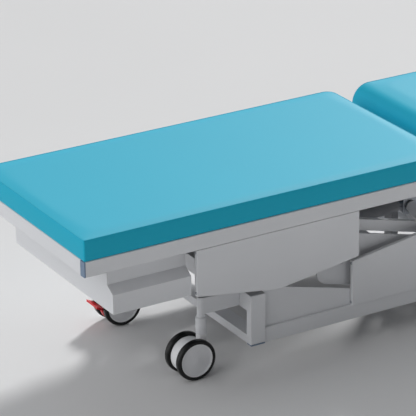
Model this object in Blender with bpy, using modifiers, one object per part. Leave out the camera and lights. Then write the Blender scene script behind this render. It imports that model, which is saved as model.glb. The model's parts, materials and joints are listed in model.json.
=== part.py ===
"""Examination table: two mattress sections on a height-adjustable frame with swivel casters.

Metres, +Z up. X runs from the foot end to the head end, the near side is -Y,
and the origin is on the floor under the middle of the table top.
"""
from math import atan2, cos, hypot, pi, radians, sin, sqrt, tan

import bmesh
import bpy
from mathutils import Matrix, Vector

# Overall sizes
LENGTH = 1.880
WIDTH = 0.640
TOP_HEIGHT = 0.549          # edge of the mattress above the floor, table lowered
FIT = 0.0003                # gap between pieces that touch

# Mattress sections
PAD_THICKNESS = 0.065
PAD_CROWN = 0.003
PAD_DRAW_IN = 0.002
PAD_EDGE_RADIUS = 0.008
FOOT_PAD_LENGTH = 1.215
PAD_GAP = 0.082             # between the foot pad and the head pad
HEAD_NOSE_RADIUS = 0.058

# Top frame
RAIL_HEIGHT = 0.047
RAIL_WIDTH = 0.025
TUBE_WALL = 0.002
TUBE_CORNER = 0.003
CAP_THICKNESS = 0.004
CAP_STUB_LENGTH = 0.015
END_CROSS_WIDTH = 0.025
CROSS_WIDTH = 0.060
DECK_THICKNESS = 0.012
SHEET = 0.0015              # steel sheet of the panels and the drawer

# Side panels: a five-sided tray, the lower one upside down
PANEL_LENGTH = 0.5455
PANEL_FLANGE = 0.014
UPPER_PANEL_START = 0.3563  # from the foot end
UPPER_PANEL_EDGE = 0.1420   # height at its two ends
PANEL_POINT = 0.0400        # how far the middle stands out beyond the ends
LOWER_PANEL_START = 0.894
LOWER_PANEL_EDGE = 0.1420
LOWER_PANEL_PROUD = 0.005   # outer face in front of the base rail

# Drawer under the foot end
HOUSING_START = 0.099
HOUSING_LENGTH = 0.249
NECK_HALF_WIDTH = 0.268
SHOULDER_WIDTH = 0.032      # runner box beyond the neck, on each side
HOUSING_BOTTOM = 0.2945
SHOULDER_LOW = 0.354
SHOULDER_HIGH = 0.375
RUNNER_LIP = 0.010
RUNNER_LIP_THICKNESS = 0.003
DRAWER_SIDE_HEIGHT = 0.065
DRAWER_FRONT_THICKNESS = 0.0025
DRAWER_SIDE_GAP = 0.001
GRIP_DEPTH = 0.020          # finger gap over the drawer's front
DRAWER_CROSS_PLACE = 0.2225

# Base frame
POST_WIDTH = 0.048
POST_DEPTH = 0.025
POST_INSET = 0.022          # outer face of a post inside the table's side
POST_TOP = 0.241
POST_PLACE = 0.546          # foot-end face of the foot posts
BASE_BOTTOM = 0.085
POST_CAP_THICKNESS = 0.003
BASE_RAIL_BACKSET = 0.003   # rail face behind the post face
BASE_RAIL_BOTTOM = 0.0815
BASE_CENTRE = 1.060
LOW_CROSS_HEIGHT = 0.025
HIGH_CROSS_HEIGHT = 0.053
GUSSET_THICKNESS = 0.006
GUSSET_TOP = 0.248
GUSSET_FLAT = 0.040
GUSSET_END = 1.040
GUSSET_TIP = 0.011

# Casters
CASTER_PLACE = 0.424
CASTER_HALF_TRACK = 0.220
WHEEL_RADIUS = 0.0625
WHEEL_WIDTH = 0.021
TYRE_DEPTH = 0.0105
HUB_RECESS = 0.0015         # hub disc behind the tyre's side
WHEEL_STEPS = 28            # facets of a tyre, which stands on one of them
WHEEL_GAP = 0.044           # clear space between the two wheels of a caster
AXLE_RADIUS = 0.006
TRAIL = 0.038
FENDER_RADIUS = 0.054
FENDER_WIDTH = 0.038
SOCKET_BOTTOM = 0.126
SOCKET_HEIGHT = 0.050
SOCKET_RADIUS = 0.0165
LEG_RADIUS = 0.012
STEM_RADIUS = 0.008
STEM_LENGTH = 0.045
OUTRIGGER_WIDTH = 0.025
BOSS_RADIUS = 0.016
BOSS_HEIGHT = 0.034
PEDAL_ARM_WIDTH = 0.012
PEDAL_WIDTH = 0.066
PEDAL_REACH = 0.112
PEDAL_THICKNESS = 0.005
PEDAL_CLEARANCE = 0.002
PEDAL_ANGLE = radians(175)

# Lift: two equal pairs of arms that keep the top level
ARM_LENGTH = 0.472
ARM_REST = radians(14.5)
ARM_RAISE = radians(45.5)
BASE_PIVOT_PLACE = 1.335
BASE_PIVOT_HEIGHT = 0.151
GUIDE_RISE = 0.103
ARM_DEPTH = 0.160
ARM_OVERHANG = 0.075
ARM_CORNER = 0.040
ARM_THICKNESS = 0.008
ARM_INSET = 0.058
ARM_TAPER_END = 0.200
ARM_HEEL = 0.070            # torsion tube behind the base pivot
HEEL_RADIUS = 0.034
TORSION_RADIUS = 0.020
PLATE_THICKNESS = 0.006
PLATE_INSET = 0.070
GUIDE_DEPTH = 0.034
GUIDE_WIDTH = 0.020
GUIDE_INSET = 0.080
ARM_PIN_RADIUS = 0.012
GUIDE_PIN_RADIUS = 0.009
OPEN_PIVOT_CLEARANCE = 0.0009
HANGER_HALF_WIDTH = 0.045
PIVOT_BOSS = 0.030
PIVOT_CROSS_PLACE = 1.222
PIVOT_CROSS_WIDTH = 0.048
LEVER_RADIUS = 0.120
LEVER_INSET = 0.025         # lever plates from the middle plane
LEVER_EYE = 0.018
DRIVE_PIN_RADIUS = 0.008

# Actuator
MOTOR_LENGTH = 0.160
MOTOR_HALF_WIDTH = 0.045
MOTOR_DROP = 0.045
MOTOR_RISE = 0.075
MOTOR_CORNER = 0.012
REAR_BLOCK_LENGTH = 0.030
REAR_BLOCK_HALF_WIDTH = 0.030
REAR_BLOCK_HEIGHT = 0.090
BARREL_RADIUS = 0.025
BARREL_END = 1.245
ROD_RADIUS = 0.011
ROD_INSIDE = 0.150
YOKE_HALF_WIDTH = 0.022
YOKE_HALF_LENGTH = 0.026
YOKE_HALF_HEIGHT = 0.030
YOKE_CORNER = 0.008
SLOT_CORNER = 0.001
SADDLE_HALF_WIDTH = 0.020
SADDLE_LENGTH = 0.036
INLET_RADIUS = 0.009
INLET_LENGTH = 0.012

# Backrest
HINGE_PLACE = 1.262
BACK_RAIL_DEPTH = 0.025
BACK_RAIL_WIDTH = 0.025
BACK_RAIL_INSET = 0.0365
BACK_RAIL_END = 0.030       # short of the head end
BACK_DECK_START = 0.006     # behind the front of the head pad
RATCHET_RADIUS = 0.017
RATCHET_THICKNESS = 0.008
RATCHET_TEETH = 18
RATCHET_TOOTH = 0.0025
HINGE_PIN_RADIUS = 0.007

SIDES = (("near", -1), ("far", 1))
ENDS = (("foot", -1), ("head", 1))


def along(place):
    """X of a place measured from the foot end."""
    return place - LENGTH / 2


PAD_BOTTOM = TOP_HEIGHT - PAD_THICKNESS
RAIL_TOP = PAD_BOTTOM - FIT
RAIL_BOTTOM = RAIL_TOP - RAIL_HEIGHT
HALF = WIDTH / 2
RAIL_INNER = HALF - RAIL_WIDTH
CROSS_TOP = RAIL_TOP - DECK_THICKNESS - FIT
HEAD_PAD_START = FOOT_PAD_LENGTH + PAD_GAP
POST_OUTER = HALF - POST_INSET
POST_INNER = POST_OUTER - POST_DEPTH
BASE_RAIL_OUTER = POST_OUTER - BASE_RAIL_BACKSET
BASE_RAIL_INNER = BASE_RAIL_OUTER - RAIL_WIDTH
BASE_RAIL_TOP = BASE_RAIL_BOTTOM + RAIL_HEIGHT
POST_FAR = 2 * BASE_CENTRE - POST_PLACE
CASTER_FAR = 2 * BASE_CENTRE - CASTER_PLACE
HIGH_CROSS_BOTTOM = POST_TOP - HIGH_CROSS_HEIGHT
BASE_PIVOT = Vector((along(BASE_PIVOT_PLACE), BASE_PIVOT_HEIGHT))
ARM_LINE = Vector((-cos(ARM_REST), sin(ARM_REST)))
ARM_UP = Vector((sin(ARM_REST), cos(ARM_REST)))
TOP_PIVOT = BASE_PIVOT + ARM_LINE * ARM_LENGTH
GUIDE_STEP = Vector((0, GUIDE_RISE))
LEVER_ANGLE = pi / 2 + ARM_RAISE / 2
DRIVE_PIN = BASE_PIVOT + Vector((cos(LEVER_ANGLE), sin(LEVER_ANGLE))) * LEVER_RADIUS
DRIVE_HEIGHT = (DRIVE_PIN.y + BASE_PIVOT.y + LEVER_RADIUS) / 2
DRIVE_RISE = BASE_PIVOT.y + LEVER_RADIUS - DRIVE_PIN.y
HINGE_HEIGHT = RAIL_TOP - DECK_THICKNESS - FIT - BACK_RAIL_DEPTH / 2
WHEEL_OUTER = WHEEL_GAP / 2 + WHEEL_WIDTH


def clear_scene():
    for old in list(bpy.data.objects):
        bpy.data.objects.remove(old, do_unlink=True)


def new_collection(name):
    made = bpy.data.collections.new(name)
    bpy.context.scene.collection.children.link(made)
    return made


clear_scene()
PARTS = new_collection("examination_table")
GUIDES = new_collection("construction")


def finish_colour(name, colour, roughness, metallic=0.0):
    made = bpy.data.materials.new(name)
    made.use_nodes = True
    shader = made.node_tree.nodes["Principled BSDF"]
    shader.inputs["Base Color"].default_value = (*colour, 1.0)
    shader.inputs["Roughness"].default_value = roughness
    shader.inputs["Metallic"].default_value = metallic
    return made


FINISHES = {
    "powder": ((0.72, 0.73, 0.75), 0.45, 0.0),
    "vinyl": ((0.13, 0.55, 0.68), 0.42, 0.0),
    "plug": ((0.14, 0.19, 0.28), 0.5, 0.0),
    "tyre": ((0.012, 0.012, 0.013), 0.6, 0.0),
    "white_plastic": ((0.75, 0.76, 0.78), 0.35, 0.0),
    "red_plastic": ((0.75, 0.03, 0.04), 0.35, 0.0),
    "grey_plastic": ((0.27, 0.275, 0.29), 0.5, 0.0),
    "steel": ((0.55, 0.56, 0.58), 0.3, 1.0),
    "plywood": ((0.075, 0.07, 0.065), 0.5, 0.0),
}


# Shapes: each function gives a mesh in world coordinates
def tidy(mesh):
    work = bmesh.new()
    work.from_mesh(mesh)
    bmesh.ops.remove_doubles(work, verts=work.verts, dist=1e-6)
    bmesh.ops.recalc_face_normals(work, faces=work.faces)
    work.to_mesh(mesh)
    work.free()
    return mesh


def evaluated_mesh(obj):
    graph = bpy.context.evaluated_depsgraph_get()
    mesh = bpy.data.meshes.new_from_object(obj.evaluated_get(graph))
    bpy.data.objects.remove(obj, do_unlink=True)
    return mesh


def guide_object(name, data):
    obj = bpy.data.objects.new(name, data)
    obj.hide_render = True
    obj.display_type = "WIRE"
    GUIDES.objects.link(obj)
    return obj


PLANES = {
    "x": Matrix(((0, 0, 1, 0), (1, 0, 0, 0), (0, 1, 0, 0), (0, 0, 0, 1))),
    "y": Matrix(((1, 0, 0, 0), (0, 0, -1, 0), (0, 1, 0, 0), (0, 0, 0, 1))),
    "z": Matrix.Identity(4),
}
NORMALS = {"x": Vector((1, 0, 0)), "y": Vector((0, 1, 0)), "z": Vector((0, 0, 1))}


def prism(loops, plane, low, high):
    """Extrude an outline and its holes: (y, z) along X, (x, z) along Y or (x, y) along Z."""
    curve = bpy.data.curves.new("outline", "CURVE")
    curve.dimensions = "2D"
    curve.fill_mode = "BOTH"
    curve.extrude = (high - low) / 2
    for loop in loops:
        spline = curve.splines.new("POLY")
        spline.points.add(len(loop) - 1)
        spline.use_cyclic_u = True
        for point, (u, v) in zip(spline.points, loop):
            point.co = (u, v, 0, 1)
    mesh = evaluated_mesh(guide_object("outline", curve))
    mesh.transform(Matrix.Translation(NORMALS[plane] * (low + high) / 2) @ PLANES[plane])
    return tidy(mesh)


def turned(profile, centre, direction, steps=28):
    """Turn (radius, height) points, listed from the top down the outer side, about an axis."""
    mesh = bpy.data.meshes.new("profile")
    points = [(radius, 0, height) for radius, height in profile]
    mesh.from_pydata(points, [(i, i + 1) for i in range(len(points) - 1)], [])
    obj = guide_object("profile", mesh)
    screw = obj.modifiers.new("turn", "SCREW")
    screw.axis = "Z"
    screw.steps = steps
    screw.render_steps = steps
    screw.use_merge_vertices = True
    screw.merge_threshold = 1e-5
    made = evaluated_mesh(obj)
    turn = Vector((0, 0, 1)).rotation_difference(Vector(direction)).to_matrix().to_4x4()
    made.transform(Matrix.Translation(centre) @ turn)
    return tidy(made)


def rod(radius, start, end, steps=24):
    start = Vector(start)
    span = Vector(end) - start
    half = span.length / 2
    profile = ((0, half), (radius, half), (radius, -half), (0, -half))
    return turned(profile, start + span / 2, span.normalized(), steps)


def boolean(base, others, operation):
    obj = guide_object("base", base)
    for other in others:
        step = obj.modifiers.new(operation, "BOOLEAN")
        step.operation = operation
        step.solver = "EXACT"
        step.object = guide_object("other", other)
    helpers = [step.object for step in obj.modifiers]
    mesh = evaluated_mesh(obj)
    for helper in helpers:
        bpy.data.objects.remove(helper, do_unlink=True)
    return tidy(mesh)


def weld(*shapes):
    return boolean(shapes[0], shapes[1:], "UNION")


def block(low, high):
    work = bmesh.new()
    size = Vector(high) - Vector(low)
    middle = (Vector(high) + Vector(low)) / 2
    place = Matrix.Translation(middle) @ Matrix.Diagonal((*size, 1))
    bmesh.ops.create_cube(work, size=1.0, matrix=place)
    mesh = bpy.data.meshes.new("block")
    work.to_mesh(mesh)
    work.free()
    return mesh


def side_span(side, inner, outer):
    """Y from and to for a piece between two distances from the middle plane."""
    return tuple(sorted((side * inner, side * outer)))


def end_span(end, low, high):
    """X from and to of a base piece, mirrored about the base's centre for the head end."""
    if end < 0:
        return along(low), along(high)
    return along(2 * BASE_CENTRE - high), along(2 * BASE_CENTRE - low)


# Outlines
def rounded(corners, steps=4):
    """Closed outline from (u, v, radius) corners, each radius drawn as an arc."""
    outline = []
    for index, (u, v, radius) in enumerate(corners):
        here = Vector((u, v))
        if radius <= 0:
            outline.append((u, v))
            continue
        before = (Vector(corners[index - 1][:2]) - here).normalized()
        after = (Vector(corners[(index + 1) % len(corners)][:2]) - here).normalized()
        half = before.angle(after) / 2
        centre = here + (before + after).normalized() * (radius / sin(half))
        first = here + before * (radius / tan(half)) - centre
        last = here + after * (radius / tan(half)) - centre
        sweep = atan2(first.x * last.y - first.y * last.x, first.dot(last))
        for step in range(steps + 1):
            turn = sweep * step / steps
            x = first.x * cos(turn) - first.y * sin(turn)
            y = first.x * sin(turn) + first.y * cos(turn)
            outline.append((centre.x + x, centre.y + y))
    return outline


def rectangle(low_u, low_v, high_u, high_v, radius=0.0, steps=3):
    corners = ((low_u, low_v), (high_u, low_v), (high_u, high_v), (low_u, high_v))
    return rounded([(u, v, radius) for u, v in corners], steps)


def ring(centre, radius, steps=24):
    turns = [2 * pi * step / steps for step in range(steps)]
    return [(centre[0] + radius * cos(turn), centre[1] + radius * sin(turn)) for turn in turns]


def arc(centre, radius, start, end, steps):
    turns = [start + (end - start) * step / steps for step in range(steps + 1)]
    return [(centre[0] + radius * cos(turn), centre[1] + radius * sin(turn)) for turn in turns]


def square_tube(low_u, low_v, high_u, high_v):
    """Outline of a rectangular tube with its bore."""
    outer = rectangle(low_u, low_v, high_u, high_v, TUBE_CORNER)
    bore = rectangle(low_u + TUBE_WALL, low_v + TUBE_WALL, high_u - TUBE_WALL, high_v - TUBE_WALL)
    return [outer, bore]


# Bodies: an empty on each joint, and the nodes that ride on it
BODIES = {}


def body(name, place, parent=None):
    empty = bpy.data.objects.new("axis_" + name, None)
    empty.location = place
    empty.empty_display_size = 0.05
    PARTS.objects.link(empty)
    bpy.context.view_layer.update()
    if parent:
        empty.parent = BODIES[parent]
        empty.matrix_parent_inverse = BODIES[parent].matrix_world.inverted()
    bpy.context.view_layer.update()
    BODIES[name] = empty


def node(name, mesh, finish, body_name):
    obj = bpy.data.objects.new(name, mesh)
    mesh.name = name
    mesh.materials.clear()
    mesh.materials.append(finish_colour(name, *FINISHES[finish]))
    mesh.shade_smooth()
    mesh.set_sharp_from_angle(angle=radians(30))
    PARTS.objects.link(obj)
    obj.parent = BODIES[body_name]
    obj.matrix_parent_inverse = BODIES[body_name].matrix_world.inverted()
    return obj


def make_bodies():
    body("base", (0, 0, 0))
    body("lift_arms", (BASE_PIVOT.x, 0, BASE_PIVOT.y), "base")
    body("guide_arms", (BASE_PIVOT.x, 0, BASE_PIVOT.y + GUIDE_RISE), "base")
    body("actuator_rod", (DRIVE_PIN.x, 0, DRIVE_HEIGHT), "base")
    body("top", (TOP_PIVOT.x, 0, TOP_PIVOT.y), "lift_arms")
    body("backrest", (along(HINGE_PLACE), 0, HINGE_HEIGHT), "top")
    body("drawer", (along(HOUSING_START), 0, HOUSING_BOTTOM), "top")


# Table top
def side_rails():
    for label, side in SIDES:
        low, high = side_span(side, RAIL_INNER, HALF)
        tube = prism(square_tube(low, RAIL_BOTTOM, high, RAIL_TOP), "x",
                     along(CAP_THICKNESS), along(LENGTH - CAP_THICKNESS))
        node("top_rail_" + label, tube, "powder", "top")
        middle = (low + high) / 2
        for end_label, end in ENDS:
            plug = end_plug(middle, end)
            node("rail_cap_" + end_label + "_" + label, plug, "plug", "top")


def end_plug(middle, end):
    """Plastic plug: a plate over the tube's end and a stub inside its bore."""
    outer = end * LENGTH / 2
    inner = end * (LENGTH / 2 - CAP_THICKNESS + FIT)
    tip = inner - end * CAP_STUB_LENGTH
    half = RAIL_WIDTH / 2
    plate = prism([rectangle(middle - half, RAIL_BOTTOM, middle + half, RAIL_TOP, TUBE_CORNER)],
                  "x", *sorted((inner, outer)))
    inset = TUBE_WALL + FIT
    stub = prism([rectangle(middle - half + inset, RAIL_BOTTOM + inset,
                            middle + half - inset, RAIL_TOP - inset)],
                 "x", *sorted((tip, inner + end * CAP_THICKNESS / 2)))
    return weld(plate, stub)


def cross_tube(start, width, top):
    return prism(square_tube(start, RAIL_BOTTOM, start + width, top), "y",
                 -RAIL_INNER + FIT, RAIL_INNER - FIT)


def top_crosses():
    for name, place, width, top in (
            ("foot", 0, END_CROSS_WIDTH, RAIL_TOP),
            ("head", LENGTH - END_CROSS_WIDTH, END_CROSS_WIDTH, RAIL_TOP),
            ("drawer", DRAWER_CROSS_PLACE - CROSS_WIDTH / 2, CROSS_WIDTH, CROSS_TOP)):
        node("top_cross_" + name, cross_tube(along(place), width, top), "powder", "top")
    deck = block((along(END_CROSS_WIDTH + FIT), -RAIL_INNER + FIT, RAIL_TOP - DECK_THICKNESS),
                 (along(FOOT_PAD_LENGTH), RAIL_INNER - FIT, RAIL_TOP))
    node("foot_deck", deck, "plywood", "top")


def spaced(low, high, first_edge, last_edge, count):
    """Places along a pad: round at both edges and evenly spaced between them."""
    rise = [first_edge * (1 - cos(pi / 2 * step / 4)) for step in range(5)]
    fall = [last_edge * (1 - cos(pi / 2 * step / 4)) for step in range(5)]
    start = low + first_edge
    span = high - last_edge - start
    middle = [start + span * step / count for step in range(1, count)]
    return [low + place for place in rise] + middle + [high - place for place in reversed(fall)]


def edge_drop(distance, radius):
    """How far a round edge lies below the flat, at a distance from its outer face."""
    if distance >= radius:
        return 0.0
    return radius - sqrt(max(radius ** 2 - (radius - distance) ** 2, 0.0))


def pad(low, high, nose):
    """Mattress section: crowned, its sides drawn in between the corners, with round edges."""
    xs = spaced(low, high, nose, PAD_EDGE_RADIUS, 6)
    ys = spaced(-HALF, HALF, PAD_EDGE_RADIUS, PAD_EDGE_RADIUS, 4)
    work = bmesh.new()
    bmesh.ops.create_grid(work, x_segments=len(xs) - 1, y_segments=len(ys) - 1, size=0.5)
    for vert in work.verts:
        x = xs[round((vert.co.x + 0.5) * (len(xs) - 1))]
        y = ys[round((vert.co.y + 0.5) * (len(ys) - 1))]
        vert.co = (x, y, PAD_BOTTOM)
    made = bmesh.ops.extrude_face_region(work, geom=work.faces[:])
    for vert in (item for item in made["geom"] if isinstance(item, bmesh.types.BMVert)):
        across = min(HALF - abs(vert.co.y), PAD_EDGE_RADIUS)
        ahead = edge_drop(vert.co.x - low, nose) + edge_drop(high - vert.co.x, PAD_EDGE_RADIUS)
        bow = pad_bow(vert.co, low, high)
        drop = hypot(ahead, edge_drop(across, PAD_EDGE_RADIUS))
        vert.co.z = TOP_HEIGHT - drop + PAD_CROWN * bow[0] * bow[1]
    for vert in work.verts:
        bow = pad_bow(vert.co, low, high)
        vert.co.y *= 1 - PAD_DRAW_IN / HALF * bow[0]
        middle = (low + high) / 2
        vert.co.x = middle + (vert.co.x - middle) * (1 - 2 * PAD_DRAW_IN / (high - low) * bow[1])
    mesh = bpy.data.meshes.new("pad")
    bmesh.ops.recalc_face_normals(work, faces=work.faces)
    work.to_mesh(mesh)
    work.free()
    return mesh


def pad_bow(point, low, high):
    """Share of the full bow at a point: along the pad and across it."""
    lengthwise = 1 - abs((2 * point.x - low - high) / (high - low)) ** 4
    crosswise = 1 - abs(point.y / HALF) ** 4
    return max(lengthwise, 0.0), max(crosswise, 0.0)


def mattresses():
    foot = pad(along(0), along(FOOT_PAD_LENGTH), PAD_EDGE_RADIUS)
    node("foot_mattress", foot, "vinyl", "top")
    head = pad(along(HEAD_PAD_START), along(LENGTH), HEAD_NOSE_RADIUS)
    node("head_mattress", head, "vinyl", "backrest")


def panel_tray(outline, side, outer):
    """Sheet panel with its edges folded inwards all round."""
    work = bmesh.new()
    face = work.faces.new([work.verts.new((x, side * outer, z)) for x, z in outline])
    made = bmesh.ops.extrude_face_region(work, geom=[face])
    inward = Vector((0, -side * PANEL_FLANGE, 0))
    moved = [item for item in made["geom"] if isinstance(item, bmesh.types.BMVert)]
    bmesh.ops.translate(work, verts=moved, vec=inward)
    bmesh.ops.recalc_face_normals(work, faces=work.faces)
    back = [item for item in made["geom"] if isinstance(item, bmesh.types.BMFace)]
    bmesh.ops.inset_region(work, faces=back, thickness=SHEET, use_even_offset=True)
    pushed = list({vert for item in back for vert in item.verts})
    bmesh.ops.translate(work, verts=pushed, vec=inward * (SHEET / PANEL_FLANGE - 1))
    mesh = bpy.data.meshes.new("panel")
    work.to_mesh(mesh)
    work.free()
    return mesh


def side_panels():
    top = RAIL_BOTTOM - FIT
    start = along(UPPER_PANEL_START)
    end = start + PANEL_LENGTH
    low = top - UPPER_PANEL_EDGE
    middle = start + PANEL_LENGTH / 2
    outline = ((start, top), (start, low), (middle, low - PANEL_POINT), (end, low), (end, top))
    for label, side in SIDES:
        node("side_panel_upper_" + label, panel_tray(outline, side, HALF), "powder", "top")
    bottom = BASE_RAIL_TOP + FIT
    start = along(LOWER_PANEL_START)
    end = start + PANEL_LENGTH
    high = bottom + LOWER_PANEL_EDGE
    middle = start + PANEL_LENGTH / 2
    outline = ((start, bottom), (end, bottom), (end, high), (middle, high + PANEL_POINT), (start, high))
    for label, side in SIDES:
        tray = panel_tray(outline, side, BASE_RAIL_OUTER + LOWER_PANEL_PROUD)
        node("side_panel_lower_" + label, tray, "powder", "base")


# Drawer
def drawer_housing():
    """Folded housing: a neck under the frame that widens to a runner box on each side."""
    top = RAIL_BOTTOM - FIT
    wall = NECK_HALF_WIDTH - SHEET
    half = [
        (wall, top - SHEET),
        (wall, HOUSING_BOTTOM + RUNNER_LIP_THICKNESS),
        (wall - RUNNER_LIP, HOUSING_BOTTOM + RUNNER_LIP_THICKNESS),
        (wall - RUNNER_LIP, HOUSING_BOTTOM),
        (NECK_HALF_WIDTH + SHOULDER_WIDTH, HOUSING_BOTTOM),
        (NECK_HALF_WIDTH + SHOULDER_WIDTH, SHOULDER_LOW),
        (NECK_HALF_WIDTH, SHOULDER_HIGH),
        (NECK_HALF_WIDTH, top),
    ]
    outline = half + [(-y, z) for y, z in reversed(half)]
    shell = prism([outline], "x", along(HOUSING_START), along(HOUSING_START + HOUSING_LENGTH))
    node("drawer_housing", shell, "powder", "top")


def drawer():
    """Sheet tray on the runner lips: floor, sides, back, and a front that covers the housing's end."""
    half = NECK_HALF_WIDTH - SHEET - DRAWER_SIDE_GAP
    floor = HOUSING_BOTTOM + RUNNER_LIP_THICKNESS + FIT
    back = along(HOUSING_START + HOUSING_LENGTH) - DRAWER_SIDE_GAP
    front = along(HOUSING_START) - FIT
    low = floor + SHEET + FIT
    high = floor + DRAWER_SIDE_HEIGHT
    plates = [("floor", block((front + FIT, -half, floor), (back, half, floor + SHEET))),
              ("back", block((back - SHEET, -half, low), (back, half, high)))]
    for label, side in SIDES:
        inner, outer = side_span(side, half - SHEET, half)
        side_plate = block((front + FIT, inner, low), (back - SHEET - FIT, outer, high))
        plates.append(("side_" + label, side_plate))
    edge = [
        (NECK_HALF_WIDTH + SHOULDER_WIDTH, HOUSING_BOTTOM),
        (NECK_HALF_WIDTH + SHOULDER_WIDTH, SHOULDER_LOW),
        (NECK_HALF_WIDTH, SHOULDER_HIGH),
        (NECK_HALF_WIDTH, RAIL_BOTTOM - SHEET - GRIP_DEPTH),
    ]
    outline = edge + [(-y, z) for y, z in reversed(edge)]
    plates.append(("front", prism([outline], "x", front - DRAWER_FRONT_THICKNESS, front)))
    for name, plate in plates:
        node("drawer_" + name, plate, "powder", "drawer")


# Backrest
def backrest():
    hinge = (along(HINGE_PLACE), HINGE_HEIGHT)
    half = BACK_RAIL_DEPTH / 2
    end = along(LENGTH - BACK_RAIL_END)
    bar = arc(hinge, half, pi / 2, 3 * pi / 2, 10)
    bar += [(end, hinge[1] - half), (end, hinge[1] + half)]
    bore = ring(hinge, HINGE_PIN_RADIUS + FIT)
    outer = HALF - BACK_RAIL_INSET
    inner = outer - BACK_RAIL_WIDTH
    for label, side in SIDES:
        rail = prism([bar, bore], "y", *side_span(side, inner, outer))
        node("backrest_rail_" + label, rail, "powder", "backrest")
        node("ratchet_hinge_" + label, ratchet(hinge, side, inner), "steel", "top")
    start = along(HEAD_PAD_START + BACK_DECK_START)
    deck = block((start, -RAIL_INNER + FIT, RAIL_TOP - DECK_THICKNESS),
                 (end, RAIL_INNER - FIT, RAIL_TOP))
    node("backrest_deck", deck, "plywood", "backrest")


def ratchet(hinge, side, inner):
    """Toothed disc fixed to the rail, with the pin that the backrest turns on."""
    outline = []
    for tooth in range(RATCHET_TEETH):
        turn = 2 * pi * tooth / RATCHET_TEETH
        for radius, share in ((RATCHET_RADIUS, 0.0), (RATCHET_RADIUS - RATCHET_TOOTH, 0.3)):
            angle = turn + share * 2 * pi / RATCHET_TEETH
            outline.append((hinge[0] + radius * cos(angle), hinge[1] + radius * sin(angle)))
    outer = RAIL_INNER - FIT
    disc = prism([outline], "y", *side_span(side, outer - RATCHET_THICKNESS, outer))
    pin = rod(HINGE_PIN_RADIUS, (hinge[0], side * (outer - RATCHET_THICKNESS / 2), hinge[1]),
              (hinge[0], side * (inner - FIT), hinge[1]))
    return weld(disc, pin)


# Lift
def arm_place(distance, height):
    """X and Z of a point given along the lift arm from the base pivot and square to it."""
    spot = BASE_PIVOT + ARM_LINE * distance + ARM_UP * height
    return spot.x, spot.y


def pinned_plate(outline, side, arm_pin, guide_pin):
    """Plate with one welded pin outwards for the lift arm and one inwards for the guide arm."""
    outer = HALF - PLATE_INSET
    inner = outer - PLATE_THICKNESS
    middle = side * (outer + inner) / 2
    plate = prism([outline], "y", *side_span(side, inner, outer))
    reach_out = side * (HALF - ARM_INSET + FIT)
    reach_in = side * (HALF - GUIDE_INSET - GUIDE_WIDTH - FIT)
    arm_axle = rod(ARM_PIN_RADIUS, (arm_pin.x, middle, arm_pin.y), (arm_pin.x, reach_out, arm_pin.y))
    guide_axle = rod(GUIDE_PIN_RADIUS, (guide_pin.x, middle, guide_pin.y),
                     (guide_pin.x, reach_in, guide_pin.y))
    return weld(plate, arm_axle, guide_axle)


def hangers():
    """Cross tube under the deck with two pivot plates welded below it."""
    top = RAIL_BOTTOM + TUBE_WALL / 2
    low = TOP_PIVOT.y - PIVOT_BOSS
    outline = rounded([
        (TOP_PIVOT.x - HANGER_HALF_WIDTH, top, 0),
        (TOP_PIVOT.x - PIVOT_BOSS, low, PIVOT_BOSS * 0.7),
        (TOP_PIVOT.x + PIVOT_BOSS, low, PIVOT_BOSS * 0.7),
        (TOP_PIVOT.x + HANGER_HALF_WIDTH, top, 0),
    ])
    plates = [pinned_plate(outline, side, TOP_PIVOT, TOP_PIVOT + GUIDE_STEP) for label, side in SIDES]
    tube = cross_tube(TOP_PIVOT.x - CROSS_WIDTH / 2, CROSS_WIDTH, CROSS_TOP)
    node("top_cross_lift", weld(tube, *plates), "powder", "top")


def base_brackets():
    """Cross tube between the base rails with two pivot plates welded on it."""
    cross_start = along(PIVOT_CROSS_PLACE)
    cross_end = cross_start + PIVOT_CROSS_WIDTH
    cross_top = BASE_RAIL_BOTTOM + LOW_CROSS_HEIGHT
    tube = prism(square_tube(cross_start, BASE_RAIL_BOTTOM, cross_end, cross_top), "y",
                 -BASE_RAIL_INNER + FIT, BASE_RAIL_INNER - FIT)
    foot = cross_top - TUBE_WALL / 2
    high = BASE_PIVOT.y + GUIDE_RISE + PIVOT_BOSS
    low = BASE_PIVOT.y - PIVOT_BOSS
    round_off = PIVOT_BOSS * 0.9
    outline = rounded([
        (cross_start, foot, 0), (cross_end, foot, 0),
        (BASE_PIVOT.x - PIVOT_BOSS, low, 0), (BASE_PIVOT.x + PIVOT_BOSS, low, round_off),
        (BASE_PIVOT.x + PIVOT_BOSS, high, round_off), (BASE_PIVOT.x - PIVOT_BOSS, high, round_off),
        (cross_start, foot + PIVOT_BOSS, 0),
    ])
    plates = [pinned_plate(outline, side, BASE_PIVOT, BASE_PIVOT + GUIDE_STEP) for label, side in SIDES]
    node("base_cross_pivot", weld(tube, *plates), "powder", "base")


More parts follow.
